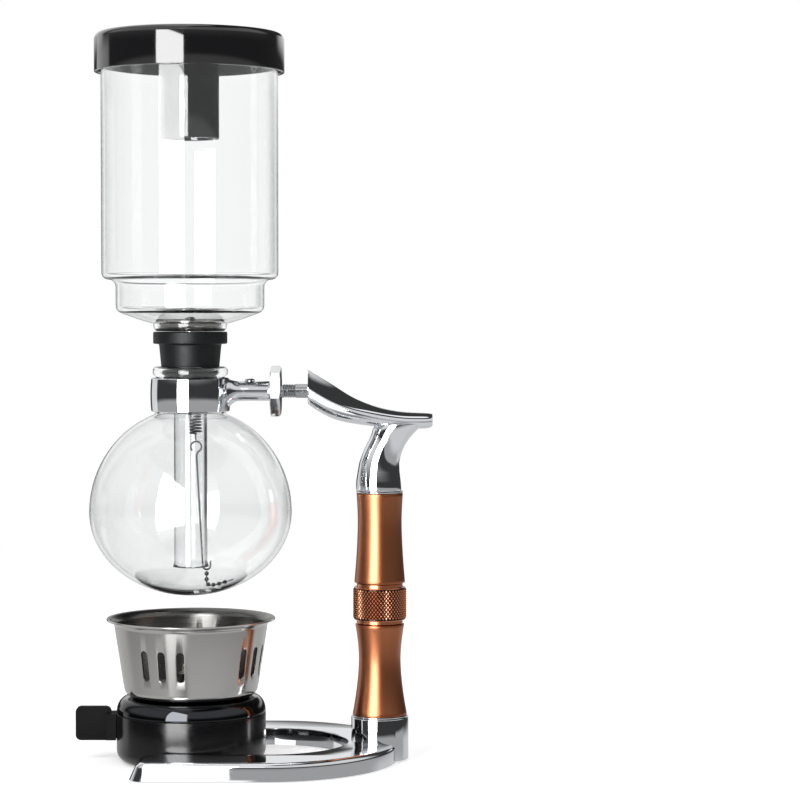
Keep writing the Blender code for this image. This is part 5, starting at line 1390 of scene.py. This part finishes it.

# %% [markdown]
# ## The spring
# A spring hangs in the tube and pulls the filter down. It is drawn as a line of points and given a round
# bevel. It leans a little, because its hook catches on one side of the tube's rim. Its top moves with the
# chamber and its bottom with the hook.

# %% Spring
CURLS = 18
CURL_POINTS = 16
CURL_RADIUS = 3.0
SPRING_PITCH = 1.5
COIL_TOP = 186.25
COIL_BOTTOM = COIL_TOP - CURLS * SPRING_PITCH
PULL_TOP = 204.25
RIM_REACH = 5.75


def pull_line(z):
    """The point at a height on the leaning line from the hub to the rim of the tube, in millimetres."""
    return (RIM_REACH * (PULL_TOP - z) / (PULL_TOP - TUBE_END), 0.0, z)


points = [pull_line(z) for z in (PULL_TOP, 195.0, COIL_TOP + SPRING_PITCH)]
steps = CURLS * CURL_POINTS
for i in range(steps + 1):
    angle = 2 * math.pi * i / CURL_POINTS
    radius = CURL_RADIUS * min(min(i, steps - i) / CURL_POINTS * 2, 1.0)
    x, y, z = pull_line(COIL_TOP - SPRING_PITCH * i / CURL_POINTS)
    points.append((x + radius * math.cos(angle), radius * math.sin(angle), z))
points += [pull_line(COIL_BOTTOM - SPRING_PITCH), pull_line(156.55)]
spring = new_piece("pull_spring")
draw_line(spring, points)
spring = wire_from_line(spring, 0.4)
coat(spring, wire_steel, 50)
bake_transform(spring)
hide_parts("filter_spring")
print("curls:", CURLS, "faces:", len(spring.data.polygons))

# %% [markdown]
# ## Hook and bead chain
# Under the spring a wire runs on through the tube and hooks over its rim. A bead chain hangs from the
# hook and lies on the floor of the globe: its beads break up the bubbles as the water boils. The wire and
# the chain's link are drawn like the spring, and each bead is a ball on the link.

# %% Hook wire
CHAIN_X = 7.65
eye_x, eye_y, eye_z = pull_line(153.2)
points = [(eye_x + x, eye_y, eye_z + z) for x, z in arc((0.0, 0.0), (2.6, 2.6), -130, -430, 24)]
points += [pull_line(z) for z in (149.0, 130.0, 110.0, 97.2)]
points += [(x, 0.0, z) for x, z in arc((CHAIN_X, 94.95), (1.9, 1.9), 180, 360, 14)] + [(9.55, 0.0, 97.35)]
hook = new_piece("pull_hook")
draw_line(hook, points)
hook = wire_from_line(hook, 0.45)
finish(hook, "filter_hook", wire_steel, "hook_wire", sharp=50)

# %% Bead chain
BEAD_PITCH = 2.9
BEAD_RADIUS = 1.1
BEAD_ABOVE_GLASS = 1.7
CHAIN_START = 92.3
LYING_STEPS = 9
LINK_STEPS = 24


def floor_height(x):
    """The height of a bead's middle on the floor of the globe, in millimetres."""
    slope = math.sqrt(1 - (x / (GLOBE_RADIUS - GLOBE_WALL)) ** 2)
    return GLOBE_Z - (GLOBE_DROP - GLOBE_WALL) * slope + BEAD_ABOVE_GLASS


low = floor_height(CHAIN_X + BEAD_PITCH / 2) + BEAD_PITCH / 2
route = [Vector((CHAIN_X, 0.0, CHAIN_START)), Vector((CHAIN_X, 0.0, low))]
for i in range(LYING_STEPS):
    x = CHAIN_X + BEAD_PITCH / 2 * (i + 1)
    route.append(Vector((x, 0.0, floor_height(x))))


def on_route(distance):
    """The point at a distance along the chain, and the chain's direction there."""
    for here, there in zip(route, route[1:]):
        length = (there - here).length
        if distance <= length:
            return here.lerp(there, distance / length), (there - here).normalized()
        distance -= length
    return route[-1], (route[-1] - route[-2]).normalized()


total = sum((b - a).length for a, b in zip(route, route[1:]))
beads = []
for i in range(int(total / BEAD_PITCH)):
    place, along = on_route(BEAD_PITCH * (i + 0.44))
    lean = along.to_track_quat("Z", "Y").to_euler()
    bead = new_piece("bead")
    bpy.ops.mesh.primitive_uv_sphere_add(segments=20, ring_count=12, radius=BEAD_RADIUS * MM,
                                         location=place * MM, rotation=lean)
    beads.append(bead)
links = new_piece("bead_links")
draw_line(links, [on_route(total * i / LINK_STEPS)[0] for i in range(LINK_STEPS + 1)])
links = wire_from_line(links, 0.35)
chain = join([links] + beads)
coat(chain, wire_steel, 60)
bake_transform(chain)
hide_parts("bead_chain")
print("beads:", len(beads))

# %% [markdown]
# ## Lid and socket
# The lid is a shallow gloss black cap. Under it stands a socket, in which the tube rests when the lid is
# laid upside down beside the pot. Both are turned. The cap's top edge has a round of 3 mm and a faint
# dish in the middle, which keeps the top from looking like cut sheet.

# %% Lid cap and socket
top_edge = arc((43.0, 350.45), (3.0, 3.0), 88, 0, 12)
cap = turned("lid_moulding", [(0.0, 353.3), (20.0, 353.32), (38.0, 353.4)] + top_edge
             + [(46.0, 334.75), (43.35, 334.75), (43.35, 349.9), (42.4, 350.85), (14.4, 350.85),
                (0.0, 350.85)], steps=192, closed=False)
round_edges(cap, 0.4, 3, 40)
finish(cap, "lid", gloss_black, "lid_cap", sharp=40)

socket = straight("tube_socket", (11.75, 14.25), (350.55, 302.55))
round_edges(socket, 0.5, 3)
finish(socket, "lid", gloss_black, "lid_socket")

# %% [markdown]
# ## The pieces kept from the frame
# The tie rod, its nut and the rubber feet have the right shape already, and they stand inside or under
# the casting. They keep their CAD mesh and only get the finish of the real thing.

# %% Finishes for the kept CAD nodes
FINISHES = {"tie_rod": bright_steel, "tie_nut": bright_steel, "foot_pad_1": rubber, "foot_pad_2": rubber,
            "foot_pad_3": rubber, "foot_pad_4": rubber}
for node, material in FINISHES.items():
    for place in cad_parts[node].material_slots:
        place.material = material
    print(node, "gets", material.name)

# %% [markdown]
# The finished object has to fill the same box as the CAD model. At the end, nothing is left selected.

# %% Leave nothing selected
select_only(None)
bpy.context.view_layer.update()
